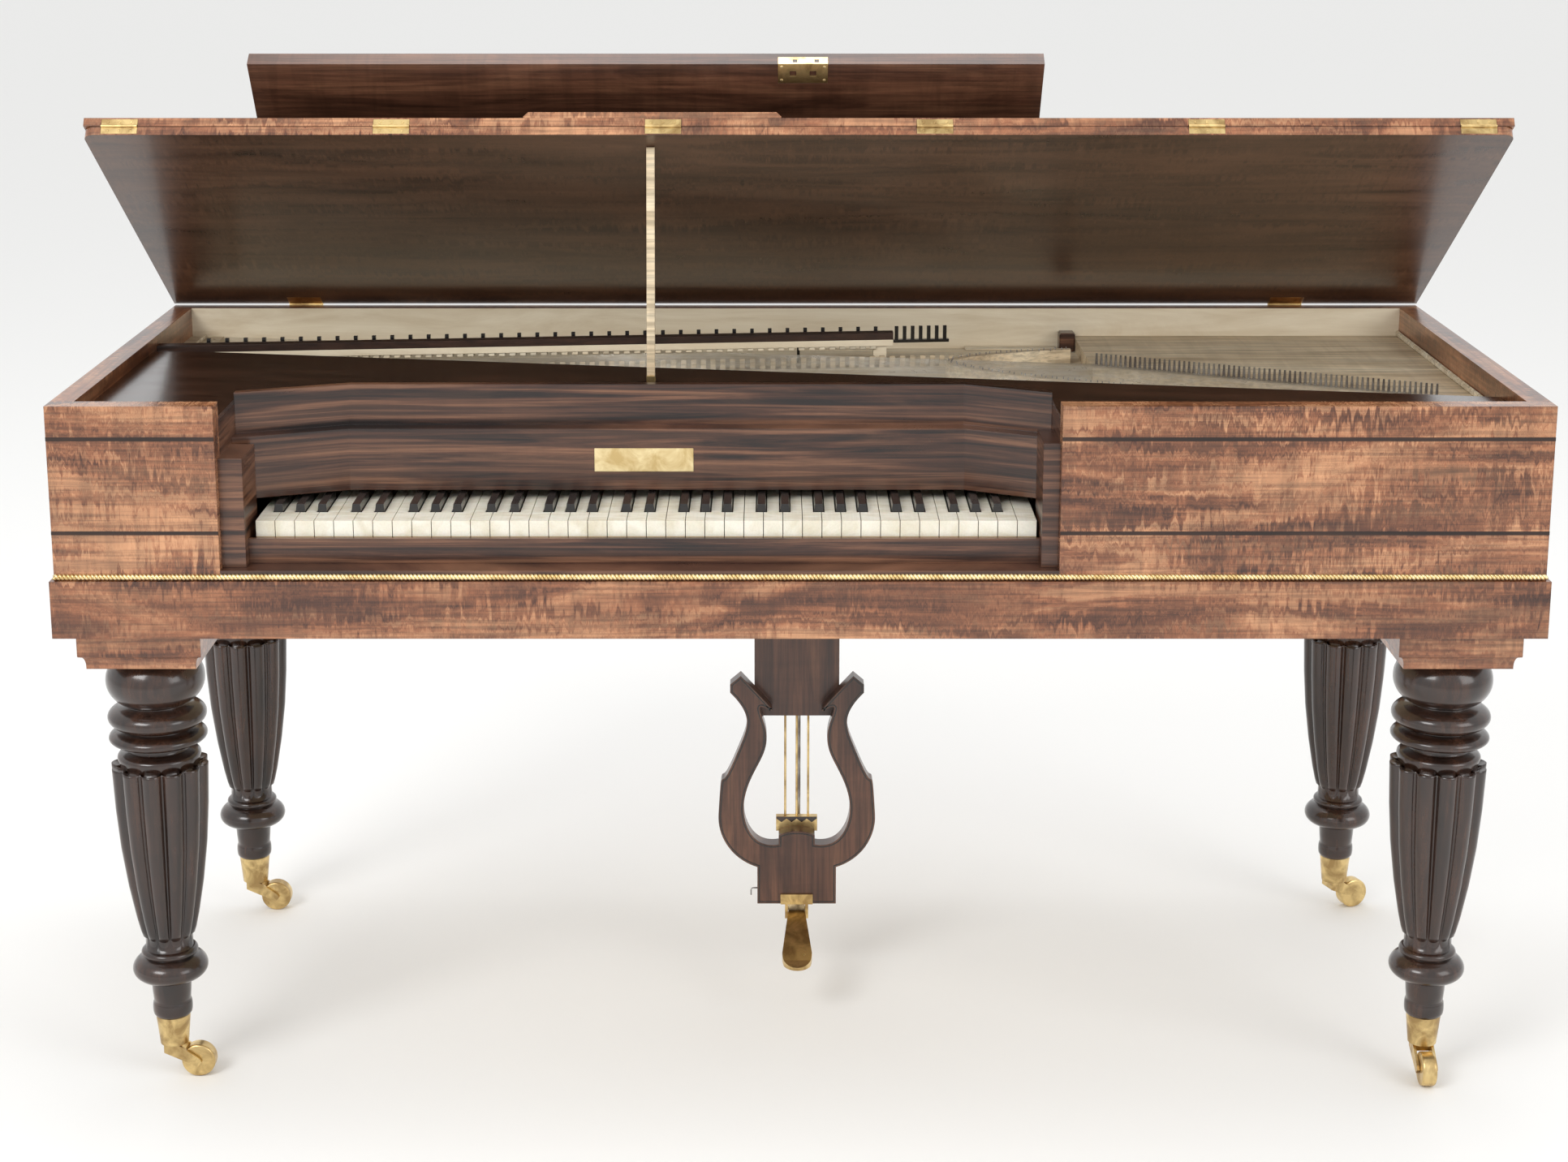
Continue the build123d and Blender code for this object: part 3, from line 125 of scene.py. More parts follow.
def maths(tree, operation, a, b=0.0, clamp=False):
    """One arithmetic step on numbers or sockets."""
    node = tree.nodes.new("ShaderNodeMath")
    node.operation = operation
    node.use_clamp = clamp
    for socket, value in ((node.inputs[0], a), (node.inputs[1], b)):
        if hasattr(value, "is_linked"):
            tree.links.new(value, socket)
        else:
            socket.default_value = value
    return node.outputs[0]


def grey(value):
    """A grey colour."""
    return (value, value, value)


def soft_edges(tree, shader, radius, height=None, strength=0.1, distance=0.001):
    """Rounds the shading at edges and adds a bump from a height."""
    bevel = tree.nodes.new("ShaderNodeBevel")
    bevel.samples = 4
    bevel.inputs["Radius"].default_value = radius
    if height is None:
        tree.links.new(bevel.outputs[0], shader.inputs["Normal"])
        return
    bump = tree.nodes.new("ShaderNodeBump")
    bump.inputs["Strength"].default_value = strength
    bump.inputs["Distance"].default_value = distance
    tree.links.new(height, bump.inputs["Height"])
    tree.links.new(bevel.outputs[0], bump.inputs["Normal"])
    tree.links.new(bump.outputs[0], shader.inputs["Normal"])


def along(axes, fine, coarse=1.0):
    """Scales that draw a texture out along the named axes, such as "x" or "xy"."""
    return tuple(coarse if axis in axes else fine for axis in "xyz")


DEEP_TONE = ((0.022, 0.011, 0.007), (0.140, 0.068, 0.038))
PALE_TONE = ((0.66, 0.54, 0.37), (0.90, 0.81, 0.63))


def wood(name, dark, mid, light, grain, figure=0.5, roughness=0.3, coat=0.3, seed=0.0, edge=0.0012,
         facing=None, tone=DEEP_TONE, comb=0.0, floor_z=-1.0, fine=1.0):
    """Polished wood: streaks along the grain's axes, a mottled figure, pores, and polish on top.

    `comb` is how far, in metres, short bars across the grain shift the figure, as in fiddleback mahogany, and
    `fine` makes the streaks narrower.

    Faces that look along `facing`, up to a height of `floor_z` where one is given, take the other tone, as an
    unpolished or a stained inner face does.
    """
    material, tree, shader = new_material(name)
    bars = noise(tree, along(grain, 20.0, 150.0), 1.0, 3.0, 0.0, 0.6)
    shift = maths(tree, "MULTIPLY", maths(tree, "SUBTRACT", bars, 0.5), comb)
    streak = noise(tree, along(grain, 14.0 * fine, 1.1), 2.2, 7.0, 0.9 + seed, 0.6, shift)
    fine_streak = noise(tree, along(grain, 90.0, 2.5), 3.0, 4.0, 0.3)
    mottle = noise(tree, along(grain, 4.6, 0.9), 3.6, 6.0, 1.5 + seed, 0.66, shift)
    flame = noise(tree, along(grain, 3.0, 26.0), 2.2, 3.0, 0.7, 0.55)
    streaks = ramp(tree, streak, [(0.37, dark), (0.5, mid), (0.64, light)])
    lines = ramp(tree, fine_streak, [(0.38, grey(0.5)), (0.58, grey(1.0))])
    patches = ramp(tree, mottle, [(0.40, dark), (0.50, mid), (0.61, light)])
    bands = ramp(tree, flame, [(0.38, grey(0.72)), (0.58, grey(1.08))])
    colour = mix(tree, figure, streaks, patches)
    colour = mix(tree, 0.75, colour, lines, "MULTIPLY")
    colour = mix(tree, figure, colour, bands, "MULTIPLY")
    if facing is not None:
        turned = tree.nodes.new("ShaderNodeVectorMath")
        turned.operation = "DOT_PRODUCT"
        place = tree.nodes.new("ShaderNodeTexCoord")
        tree.links.new(place.outputs["Normal"], turned.inputs[0])
        turned.inputs[1].default_value = facing
        factor = maths(tree, "GREATER_THAN", turned.outputs["Value"], 0.7)
        if floor_z > 0:
            split = tree.nodes.new("ShaderNodeSeparateXYZ")
            tree.links.new(place.outputs["Object"], split.inputs[0])
            factor = maths(tree, "MULTIPLY", factor, maths(tree, "LESS_THAN", split.outputs["Z"], floor_z))
        stops = [(0.35, tone[0]), (0.65, tone[1])]
        colour = mix(tree, factor, colour, mix(tree, 0.5, ramp(tree, streak, stops), ramp(tree, mottle, stops)))
    tree.links.new(colour, shader.inputs["Base Color"])
    gloss = maths(tree, "MULTIPLY_ADD", mottle, 0.16)
    gloss.node.inputs[2].default_value = roughness - 0.08
    tree.links.new(gloss, shader.inputs["Roughness"])
    shader.inputs["Coat Weight"].default_value = coat
    shader.inputs["Coat Roughness"].default_value = 0.14
    pores = noise(tree, along(grain, 420.0, 18.0), 2.0, 2.0, 0.0)
    soft_edges(tree, shader, edge, pores, 0.12, 0.0004)
    return material


def ivory_keys(name):
    """Ivory over the front of the naturals, with fine lines and a joint behind the head, and bare wood behind."""
    material, tree, shader = new_material(name)
    mottle = noise(tree, (3.0, 9.0, 3.0), 9.0, 4.0, 0.8)
    lines = noise(tree, (260.0, 8.0, 260.0), 2.0, 2.0, 0.2)
    tint = ramp(tree, mottle, [(0.3, (0.70, 0.64, 0.49)), (0.55, (0.83, 0.79, 0.67)), (0.75, (0.88, 0.85, 0.75))])
    tint = mix(tree, 0.3, tint, ramp(tree, lines, [(0.3, grey(0.8)), (0.6, grey(1.0))]), "MULTIPLY")
    place = tree.nodes.new("ShaderNodeTexCoord")
    split = tree.nodes.new("ShaderNodeSeparateXYZ")
    tree.links.new(place.outputs["Object"], split.inputs[0])
    from_joint = maths(tree, "ABSOLUTE", maths(tree, "SUBTRACT", split.outputs["Y"], KEY_HEAD_Y))
    joint = maths(tree, "LESS_THAN", from_joint, 0.0003)
    tint = mix(tree, joint, tint, (0.38, 0.32, 0.22))
    below_cover = maths(tree, "LESS_THAN", split.outputs["Z"], KEY_TOP - 0.019)
    behind = maths(tree, "GREATER_THAN", split.outputs["Y"], KEY_HEAD_Y + 0.12)
    bare = maths(tree, "MAXIMUM", below_cover, behind)
    colour = mix(tree, bare, tint, (0.50, 0.36, 0.21))
    tree.links.new(colour, shader.inputs["Base Color"])
    shader.inputs["Roughness"].default_value = 0.34
    shader.inputs["Subsurface Weight"].default_value = 0.06
    shader.inputs["Subsurface Scale"].default_value = 0.002
    shader.inputs["Coat Weight"].default_value = 0.15
    soft_edges(tree, shader, 0.0009, lines, 0.05, 0.0002)
    return material


def metal(name, colour, tarnish, roughness, edge=0.0005):
    """Metal with a patchy tarnish and fine rubbing marks."""
    material, tree, shader = new_material(name)
    patches = noise(tree, (1.0, 1.0, 1.0), 38.0, 5.0, 0.6)
    rub = noise(tree, (1.0, 1.0, 1.0), 420.0, 3.0, 0.0)
    tree.links.new(ramp(tree, patches, [(0.38, tarnish), (0.6, colour)]), shader.inputs["Base Color"])
    rough = maths(tree, "MULTIPLY_ADD", patches, -0.22)
    rough.node.inputs[2].default_value = roughness + 0.12
    tree.links.new(rough, shader.inputs["Roughness"])
    shader.inputs["Metallic"].default_value = 1.0
    soft_edges(tree, shader, edge, rub, 0.05, 0.0002)
    return material


KEY_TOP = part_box("key_c")[1].z
KEY_HEAD_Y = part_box("key_c")[0].y + 0.040

lid_down = (0.0, -math.sin(LID_OPEN), -math.cos(LID_OPEN))
lid_up = (0.0, math.sin(LID_OPEN), math.cos(LID_OPEN))
to_front = (0.0, -1.0, 0.0)
MAHOGANY = ((0.070, 0.021, 0.009), (0.29, 0.105, 0.045), (0.58, 0.29, 0.145))
DARK = ((0.012, 0.006, 0.004), (0.030, 0.013, 0.008), (0.065, 0.028, 0.016))
BROWN = ((0.045, 0.018, 0.010), (0.10, 0.040, 0.022), (0.17, 0.075, 0.040))
ROSEWOOD = ((0.010, 0.004, 0.003), (0.075, 0.029, 0.016), (0.23, 0.105, 0.056))
PALE = ((0.52, 0.39, 0.24), (0.70, 0.56, 0.37), (0.82, 0.70, 0.50))
SPRUCE = ((0.70, 0.57, 0.39), (0.83, 0.72, 0.53), (0.90, 0.82, 0.65))
RAIL_BAND_Z = 0.8505

looks = {
    "mahogany_x": wood("mahogany_long", *MAHOGANY, "x", 0.6, comb=0.035),
    "mahogany_front": wood("mahogany_figured", *MAHOGANY, "x", 0.7, 0.26, 0.35, 0.5, comb=0.045),
    "mahogany_y": wood("mahogany_side", *MAHOGANY, "y", 0.6, seed=0.3, comb=0.035),
    "mahogany_lid": wood("mahogany_lid", *MAHOGANY, "x", 0.7, seed=0.2, facing=lid_down, comb=0.04),
    "mahogany_flap": wood("mahogany_flap", *MAHOGANY, "x", 0.7, seed=0.6, facing=lid_up, comb=0.04),
    "brown_lockboard": wood("brown_lockboard", *BROWN, "x", 0.5, 0.3, 0.3),
    "dark_leg": wood("dark_leg", *DARK, "z", 0.4, 0.24, 0.5, edge=0.0006),
    "dark_board": wood("dark_board", *DARK, "x", 0.4, 0.2, 0.5),
    "brown_lyre": wood("brown_lyre", *BROWN, "z", 0.3, 0.32, 0.25),
    "rosewood": wood("rosewood", *ROSEWOOD, "xy", 0.15, 0.3, 0.2, fine=3.0),
    "stringing": wood("stringing", *DARK, "x", 0.3, 0.6, 0.0),
    "mahogany_back": wood("mahogany_back", *MAHOGANY, "x", 0.7, seed=0.4, facing=to_front, tone=PALE_TONE),
    "rail": wood("damper_rail", *DARK, "x", 0.4, 0.4, 0.2, facing=to_front, tone=PALE_TONE, floor_z=RAIL_BAND_Z),
    "pale": wood("pale_wood", *PALE, "x", 0.3, 0.5, 0.0),
    "spruce": wood("spruce", *SPRUCE, "x", 0.15, 0.42, 0.1),
    "ebony": wood("ebony", (0.006, 0.005, 0.005), (0.012, 0.010, 0.009), (0.022, 0.018, 0.015), "y", 0.3, 0.26, 0.4),
    "ivory": ivory_keys("ivory"),
    "brass": metal("brass", (0.80, 0.60, 0.28), (0.42, 0.28, 0.12), 0.30),
    "gilt": metal("gilt", (0.92, 0.76, 0.44), (0.66, 0.48, 0.22), 0.34),
    "wire": metal("wire", (0.86, 0.83, 0.76), (0.72, 0.66, 0.54), 0.30),
    "steel": metal("steel", (0.42, 0.41, 0.40), (0.20, 0.18, 0.17), 0.34),
}

finish_of = {
    "mahogany_x": ["base_rail", "music_ledge"],
    "mahogany_front": ["front_boards"],
    "mahogany_y": ["side_boards"],
    "mahogany_lid": ["lid"],
    "mahogany_flap": ["flap"],
    "brown_lockboard": ["lockboard"],
    "dark_leg": ["leg_front_left", "leg_front_right", "leg_rear_left", "leg_rear_right"],
    "dark_board": ["inner_cover"],
    "rail": ["damper_rail"],
    "brown_lyre": ["lyre"],
    "rosewood": ["nameboard", "key_slip", "key_cheeks", "key_frame"],
    "pale": ["bottom_board", "hammers", "wrest_plank", "hitch_rail", "bridge", "prop"],
    "mahogany_back": ["back_board"],
    "spruce": ["soundboard"],
    "ebony": ["other_sharps", "dampers"],
    "brass": ["ferrules", "lyre_fittings", "lid_leaves", "flap_leaves", "lock_fittings", "case_fittings", "pedal"],
    "gilt": ["rope_moulding"],
    "steel": ["tuning_pins", "strings", "pedal_rod"],
    "ivory": ["other_naturals"],
}
for node_name in nodes:
    if node_name.startswith("key_") and node_name not in ("key_frame", "key_slip", "key_cheeks"):
        finish_of["ebony" if node_name.endswith("_sharp") else "ivory"].append(node_name)
    if node_name.startswith("caster_"):
        finish_of["brass"].append(node_name)
for look, members in finish_of.items():
    for node_name in members:
        data = nodes[node_name].data
        data.materials.clear()
        data.materials.append(looks[look])


def piece(name, mesh_data, look, body, smooth=True):
    """A new piece that rides on a body and has a finish."""
    mesh = bpy.data.meshes.new(name)
    mesh.from_pydata(*mesh_data) if isinstance(mesh_data, tuple) else mesh_data.to_mesh(mesh)
    mesh.materials.append(looks[look])
    for polygon in mesh.polygons:
        polygon.use_smooth = smooth
    made = bpy.data.objects.new(name, mesh)
    bpy.context.scene.collection.objects.link(made)
    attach(made, body)
    return made


def bevelled_box(bm, low, high, bevel, matrix=None):
    """Adds a box with rounded edges to a bmesh."""
    size = [b - a for a, b in zip(low, high)]
    centre = [(a + b) / 2 for a, b in zip(low, high)]
    made = bmesh.ops.create_cube(bm, size=1.0)
    bmesh.ops.scale(bm, vec=size, verts=made["verts"])
    bmesh.ops.translate(bm, vec=centre, verts=made["verts"])
    edges = {e for v in made["verts"] for e in v.link_edges}
    done = bmesh.ops.bevel(bm, geom=list(edges), offset=bevel, segments=2, affect="EDGES")
    if matrix is not None:
        verts = set(done["verts"]) | {v for v in made["verts"] if v.is_valid}
        bmesh.ops.transform(bm, matrix=matrix, verts=list(verts))


def tube(path, radius, sides, closed_ends=True):
    """Vertices and faces of a round tube along a list of points."""
    verts, faces = [], []
    for k, point in enumerate(path):
        ahead = path[min(k + 1, len(path) - 1)] - path[max(k - 1, 0)]
        ahead.normalize()
        side = ahead.cross(Vector((0, 0, 1)) if abs(ahead.z) < 0.9 else Vector((1, 0, 0))).normalized()
        up = side.cross(ahead)
        for j in range(sides):
            turn = 2 * math.pi * j / sides
            verts.append(point + (side * math.cos(turn) + up * math.sin(turn)) * radius)
    for k in range(len(path) - 1):
        for j in range(sides):
            a, b = k * sides + j, k * sides + (j + 1) % sides
            faces.append((a, b, b + sides, a + sides))
    if closed_ends:
        faces.append(tuple(reversed(range(sides))))
        faces.append(tuple(range((len(path) - 1) * sides, len(path) * sides)))
    return verts, faces


def joined(parts):
    """Several (verts, faces) as one."""
    verts, faces = [], []
    for part_verts, part_faces in parts:
        shift = len(verts)
        verts += part_verts
        faces += [tuple(i + shift for i in face) for face in part_faces]
    return verts, [], faces


# Rope moulding: two strands twisted round each other right across the front
def rope_strand(turn_shift):
    low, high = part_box("rope_moulding")
    centre_z = (low.z + high.z) / 2
    pitch, helix, points_per_turn = 0.0094, 0.0021, 10
    count = int((high.x - low.x) / pitch * points_per_turn)
    path = []
    for k in range(count + 1):
        turn = 2 * math.pi * k / points_per_turn + turn_shift
        path.append(Vector((low.x + pitch * k / points_per_turn, FRONT_Y - 0.0002 - helix * 0.05 + helix * math.cos(turn),
                            centre_z + helix * math.sin(turn))))
    return tube(path, 0.0021, 7)


rope = piece("rope_strands", joined([rope_strand(0.0), rope_strand(math.pi)]), "gilt", "case")
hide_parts("rope_moulding")

# Inlaid dark lines round the upper case
LINE_HEIGHT, LINE_PROUD = 0.0045, 0.0003
lines_bm = bmesh.new()
for line_z in (0.720, 0.832):
    for x0, x1 in ((-HALF_WIDTH, WELL_LEFT), (WELL_RIGHT, HALF_WIDTH)):
        bevelled_box(lines_bm, (x0, FRONT_Y - LINE_PROUD, line_z), (x1, FRONT_Y + 0.0005, line_z + LINE_HEIGHT), 0.0001)
    for side in (-1, 1):
        x0, x1 = sorted((side * (HALF_WIDTH - 0.0005), side * (HALF_WIDTH + LINE_PROUD)))
        bevelled_box(lines_bm, (x0, FRONT_Y, line_z), (x1, BACK_Y, line_z + LINE_HEIGHT), 0.0001)
piece("inlaid_lines", lines_bm, "stringing", "case", smooth=False)
lines_bm.free()

# Bare name plate on the nameboard
board_low, board_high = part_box("nameboard")
plate_bm = bmesh.new()
PLATE_X, PLATE_WIDTH, PLATE_HEIGHT, PLATE_LIFT = -0.188, 0.120, 0.029, 0.023
BOARD_FACE_Y = FRONT_Y + 0.146
bevelled_box(plate_bm, (PLATE_X - PLATE_WIDTH / 2, BOARD_FACE_Y - 0.0012, board_low.z + PLATE_LIFT),
             (PLATE_X + PLATE_WIDTH / 2, BOARD_FACE_Y + 0.0005, board_low.z + PLATE_LIFT + PLATE_HEIGHT), 0.0005)
piece("name_plate", plate_bm, "gilt", "case", smooth=False)
plate_bm.free()


# Legs: a bevelled block and step over a finely turned and reeded shank
def bulge(z0, z1, edge0, mid, edge1, steps=10, fullness=0.5):
    """Heights and radii of a turned ring from z0 down to z1."""
    rows = []
    for k in range(steps + 1):
        t = k / steps
        edge = edge0 + (edge1 - edge0) * t
        rows.append((z0 + (z1 - z0) * t, edge + (mid - edge) * max(0.0, 1 - (2 * t - 1) ** 2) ** fullness))
    return rows


REEDS = 12
REED_ROWS = [(0.411, 0.0590), (0.360, 0.0569), (0.310, 0.0530), (0.260, 0.0464), (0.217, 0.0387), (0.190, 0.0325)]


def reed_radius(z):
    """The shank's radius at a height, smoothly through its measured rows."""
    for (z0, r0), (z1, r1) in zip(REED_ROWS, REED_ROWS[1:]):
        if z >= z1:
            t = (z0 - z) / (z0 - z1)
            return r0 + (r1 - r0) * t
    return REED_ROWS[-1][1]


def leg_rows():
    """Rows of (height, radius, reeding) down a leg, from its block to its ferrule."""
    rows = [(0.551, 0.010, 0), (0.551, 0.045, 0)]
    rows += [(z, r, 0) for z, r in bulge(0.550, 0.490, 0.042, 0.059, 0.038, 18, 0.75)]
    rows += [(z, r, 0) for z, r in bulge(0.4885, 0.459, 0.038, 0.059, 0.040, 14, 0.6)]
    rows += [(z, r, 0) for z, r in bulge(0.457, 0.438, 0.040, 0.0588, 0.036, 12)]
    rows += [(0.436, 0.035, 0), (0.430, 0.035, 0)]
    rows += [(z, r, 0) for z, r in bulge(0.4295, 0.414, 0.036, 0.0500, 0.0475, 8)]
    rows += [(0.4085, 0.0480, 0.3), (0.4082, 0.0500, 0.9), (0.4118, 0.0582, 1.0), (0.4114, 0.0590, 1.0)]
    rows += [(0.408 - 0.006 * k, reed_radius(0.408 - 0.006 * k), 1.0) for k in range(36)]
    rows += [(0.1905, 0.0320, 0.9), (0.1885, 0.0295, 0.5), (0.187, 0.0286, 0), (0.172, 0.0286, 0)]
    rows += [(z, r, 0) for z, r in bulge(0.172, 0.162, 0.0288, 0.0345, 0.0288, 8)]
    rows += [(z, r, 0) for z, r in bulge(0.1615, 0.131, 0.0290, 0.0458, 0.0250, 14)]
    rows += [(0.129, 0.0245, 0), (0.115, 0.0236, 0), (0.103, 0.0226, 0)]
    rows += [(z, r, 0) for z, r in bulge(0.102, 0.0825, 0.0222, 0.0242, 0.0218, 8)]
    rows += [(0.082, 0.010, 0)]
    return rows


def leg_mesh(bm, x, y):
    """One leg's turned part, with twelve rounded reeds between deep valleys."""
    steps = 16
    centre, round_r = 0.783, 0.217
    rings = []
    for z, radius, reeding in leg_rows():
        ring = []
        for j in range(REEDS * steps):
            off = ((j % steps) / steps - 0.5) * 2 * math.pi / REEDS
            lobe = centre * math.cos(off) + math.sqrt(max(0.0, round_r ** 2 - (centre * math.sin(off)) ** 2))
            r = radius * (1 - reeding * (1 - lobe))
            turn = 2 * math.pi * (j - steps / 2) / (REEDS * steps)
            ring.append(bm.verts.new((x + r * math.cos(turn), y + r * math.sin(turn), z)))
        rings.append(ring)
    for upper, lower in zip(rings, rings[1:]):
        for j in range(REEDS * steps):
            k = (j + 1) % (REEDS * steps)
            bm.faces.new((upper[j], lower[j], lower[k], upper[k]))
    bm.faces.new(rings[0])
    bm.faces.new(tuple(reversed(rings[-1])))


LEG_BLOCK, LEG_STEP_INSET = 0.146, 0.008


def leg_block_rows():
    """Heights and half-widths of a leg's block, with a cove under it."""
    half = LEG_BLOCK / 2
    rows = [(RAIL_BOTTOM, half), (0.5685, half), (0.5675, half - 0.0006), (0.567, half - 0.0022)]
    for k in range(7):
        turn = math.pi / 2 * k / 6
        rows.append((0.554 + 0.0125 * math.cos(turn), half - 0.0030 - (LEG_STEP_INSET - 0.0030) * math.sin(turn)))
    return rows + [(0.551, half - LEG_STEP_INSET)]


for node_name in finish_of["dark_leg"]:
    low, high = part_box(node_name)
    x, y = (low.x + high.x) / 2, (low.y + high.y) / 2
    leg_bm = bmesh.new()
    leg_mesh(leg_bm, x, y)
    turned = piece(node_name + "_carved", leg_bm, "dark_leg", "case")
    leg_bm.free()
    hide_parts(node_name)
    verts, faces = [], [(3, 2, 1, 0)]
    for row, (z, reach) in enumerate(leg_block_rows()):
        verts += [(x + a * reach, y + b * reach, z) for a, b in ((-1, -1), (1, -1), (1, 1), (-1, 1))]
        if row:
            faces += [(4 * row - 4 + k, 4 * row - 4 + (k + 1) % 4, 4 * row + (k + 1) % 4, 4 * row + k) for k in range(4)]
    last = len(verts) - 4
    faces.append((last, last + 1, last + 2, last + 3))
    piece(node_name + "_block", (verts, [], faces), "mahogany_x", "case", smooth=False)


# Screws: slotted heads in the hinge leaves and the lock plate
def screw(bm, place, normal, radius=0.0019, depth=0.0004):
    """A slightly domed slotted screw head."""
    normal = Vector(normal).normalized()
    turn = normal.to_track_quat("Z", "Y").to_matrix().to_4x4()
    matrix = Matrix.Translation(Vector(place)) @ turn
    made = bmesh.ops.create_cone(bm, cap_ends=True, segments=16, radius1=radius, radius2=radius * 0.8, depth=depth,
                                 matrix=matrix @ Matrix.Translation((0, 0, depth / 2)))
    slot_bar = bmesh.ops.create_cube(bm, size=1.0)
    shape = Matrix.Diagonal((radius * 1.5, radius * 0.22, depth * 0.3, 1.0))
    bmesh.ops.transform(bm, matrix=matrix @ Matrix.Translation((0, 0, depth)) @ shape, verts=slot_bar["verts"])
    return made


HINGE_Y, HINGE_Z = 0.3426, 0.8733


def in_lid(x, y, z):
    """A point of the lid's own frame, in the row frame at rest."""
    return Vector((x, HINGE_Y + y * math.cos(LID_OPEN) + z * math.sin(LID_OPEN),
                   HINGE_Z - y * math.sin(LID_OPEN) + z * math.cos(LID_OPEN)))


flap_hinge_xs = [side * (0.166 + 0.331 * k) for side in (-1, 1) for k in range(3)]
edge_normal = in_lid(0, -1, 0) - in_lid(0, 0, 0)
for screw_name, body, height in (("lid_screws", "lid", 0.0058), ("flap_screws", "flap", 0.0172)):
    screws_bm = bmesh.new()
    for x in flap_hinge_xs:
        for k in (-1, 0, 1):
            screw(screws_bm, in_lid(x + k * 0.014, -0.524, height), edge_normal)
    piece(screw_name, screws_bm, "brass", body, smooth=False)
    screws_bm.free()

# Lock: a pierced plate let into the lockboard's top edge, with painted shade in its two holes, and screws at the
# corners of the plate on its face
def pierced_plate(us, vs, holes, thickness, place):
    """A flat plate over a grid of cells with some cells left open; place(u, v, w) gives each corner's point."""
    verts, faces = [], []
    index = {}

    def corner(i, j, k):
        if (i, j, k) not in index:
            index[(i, j, k)] = len(verts)
            verts.append(place(us[i], vs[j], k * thickness))
        return index[(i, j, k)]

    solid = {(i, j) for i in range(len(us) - 1) for j in range(len(vs) - 1)} - set(holes)
    for i, j in sorted(solid):
        a, b, c, d = ((i, j), (i + 1, j), (i + 1, j + 1), (i, j + 1))
        faces.append([corner(*p, 1) for p in (a, b, c, d)])
        faces.append([corner(*p, 0) for p in (d, c, b, a)])
        for beside, p, q in (((i, j - 1), a, b), ((i + 1, j), b, c), ((i, j + 1), c, d), ((i - 1, j), d, a)):
            if beside not in solid:
                faces.append([corner(*p, 0), corner(*q, 0), corner(*q, 1), corner(*p, 1)])
    return verts, [], faces


LOCK_LEAN = math.radians(35)
BOARD_THICK, LOCK_X, LOCK_HALF, LOCK_DEEP = 0.020, 0.005, 0.0305, 0.0130
board_edge = Vector((0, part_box("lockboard")[0].y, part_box("lockboard")[1].z - BOARD_THICK * math.sin(LOCK_LEAN)))
edge_back = Vector((0, math.cos(LOCK_LEAN), math.sin(LOCK_LEAN)))
edge_up = Vector((0, -math.sin(LOCK_LEAN), math.cos(LOCK_LEAN)))


def on_lock_edge(u, v, w):
    """A point on the lockboard's top edge: across, back from the inner face, and proud of the edge."""
    return board_edge + Vector((LOCK_X + u, 0, 0)) + edge_back * v + edge_up * w


plate_us = (-LOCK_HALF, -0.0125, -0.0070, 0.0140, 0.0195, LOCK_HALF)
plate_vs = (0.0002, 0.0030, 0.0085, LOCK_DEEP)
piece("lock_edge_plate", pierced_plate(plate_us, plate_vs, ((1, 1), (3, 1)), 0.0003, on_lock_edge), "gilt",
      "lockboard", smooth=False)
# Painted shade: a thin dark sheet in the bottom of each of the plate's two holes stands in for the shade inside them
hole_shade_mesh = joined([([on_lock_edge(u + du, v, w) for w in (0.00005, 0.00012) for du, v in
                      ((0, 0.0030), (0.0055, 0.0030), (0.0055, 0.0085), (0, 0.0085))],
                     [(3, 2, 1, 0), (4, 5, 6, 7), (0, 1, 5, 4), (1, 2, 6, 5), (2, 3, 7, 6), (3, 0, 4, 7)])
                    for u in (-0.0125, 0.0140)])
piece("lock_hole_painted_shade", hole_shade_mesh, "dark_board", "lockboard", smooth=False)
lock_bm = bmesh.new()
for side in (-1, 1):
    for drop in (0.0045, 0.0255):
        screw(lock_bm, board_edge + Vector((LOCK_X + side * 0.0262, 0, 0)) - edge_up * drop, -edge_back, 0.0022)
piece("lock_screws", lock_bm, "gilt", "lockboard", smooth=False)
lock_bm.free()

# Damper heads: a row of pale heads under the damper rail
STRIKE_X, STRIKE_Y, STRIKE_SLOPE = -0.804, FRONT_Y + 0.452, 0.0984
HEAD_PITCH, HEAD_HALF, HEAD_REACH, HEAD_LOW, HEAD_HIGH = 0.0138, 0.0042, 0.0082, 0.8374, 0.8421
heads_bm = bmesh.new()
for k in range(52):
    x = -0.600 + HEAD_PITCH * k
    y = STRIKE_Y + (x - STRIKE_X) * STRIKE_SLOPE
    bevelled_box(heads_bm, (x - HEAD_HALF, y - HEAD_REACH, HEAD_LOW), (x + HEAD_HALF, y + HEAD_REACH, HEAD_HIGH), 0.0006)
piece("damper_heads", heads_bm, "spruce", "case", smooth=False)
heads_bm.free()

# Strings as fine wires, and tuning pins with the wire wound round them
def islands(node):
    """Low and high corners of each separate solid in a node, from left to right."""
    mesh = nodes[node].data
    place = {}
    parent = []

    def root(i):
        while parent[i] != i:
            parent[i] = parent[parent[i]]
            i = parent[i]
        return i

    index = []
    for v in mesh.vertices:
        key = tuple(round(c, 6) for c in v.co)
        if key not in place:
            place[key] = len(parent)
            parent.append(len(parent))
        index.append(place[key])
    for polygon in mesh.polygons:
        first = root(index[polygon.vertices[0]])
        for other in polygon.vertices[1:]:
            parent[root(index[other])] = first
    groups = {}
    for key, i in place.items():
        groups.setdefault(root(i), []).append(key)
    boxes = [([min(p[a] for p in g) for a in range(3)], [max(p[a] for p in g) for a in range(3)]) for g in groups.values()]
    return sorted(boxes, key=lambda box: box[1][0])


STRING_R, WIRE_R = 0.0005, 0.00016
wires = []
for low, high in islands("strings"):
    z = (low[2] + high[2]) / 2
    wires.append(tube([Vector((low[0], high[1] - STRING_R, z)), Vector((high[0], low[1] + STRING_R, z))], WIRE_R, 6))
wire_piece = piece("string_wires", joined(wires), "wire", "case")
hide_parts("strings")

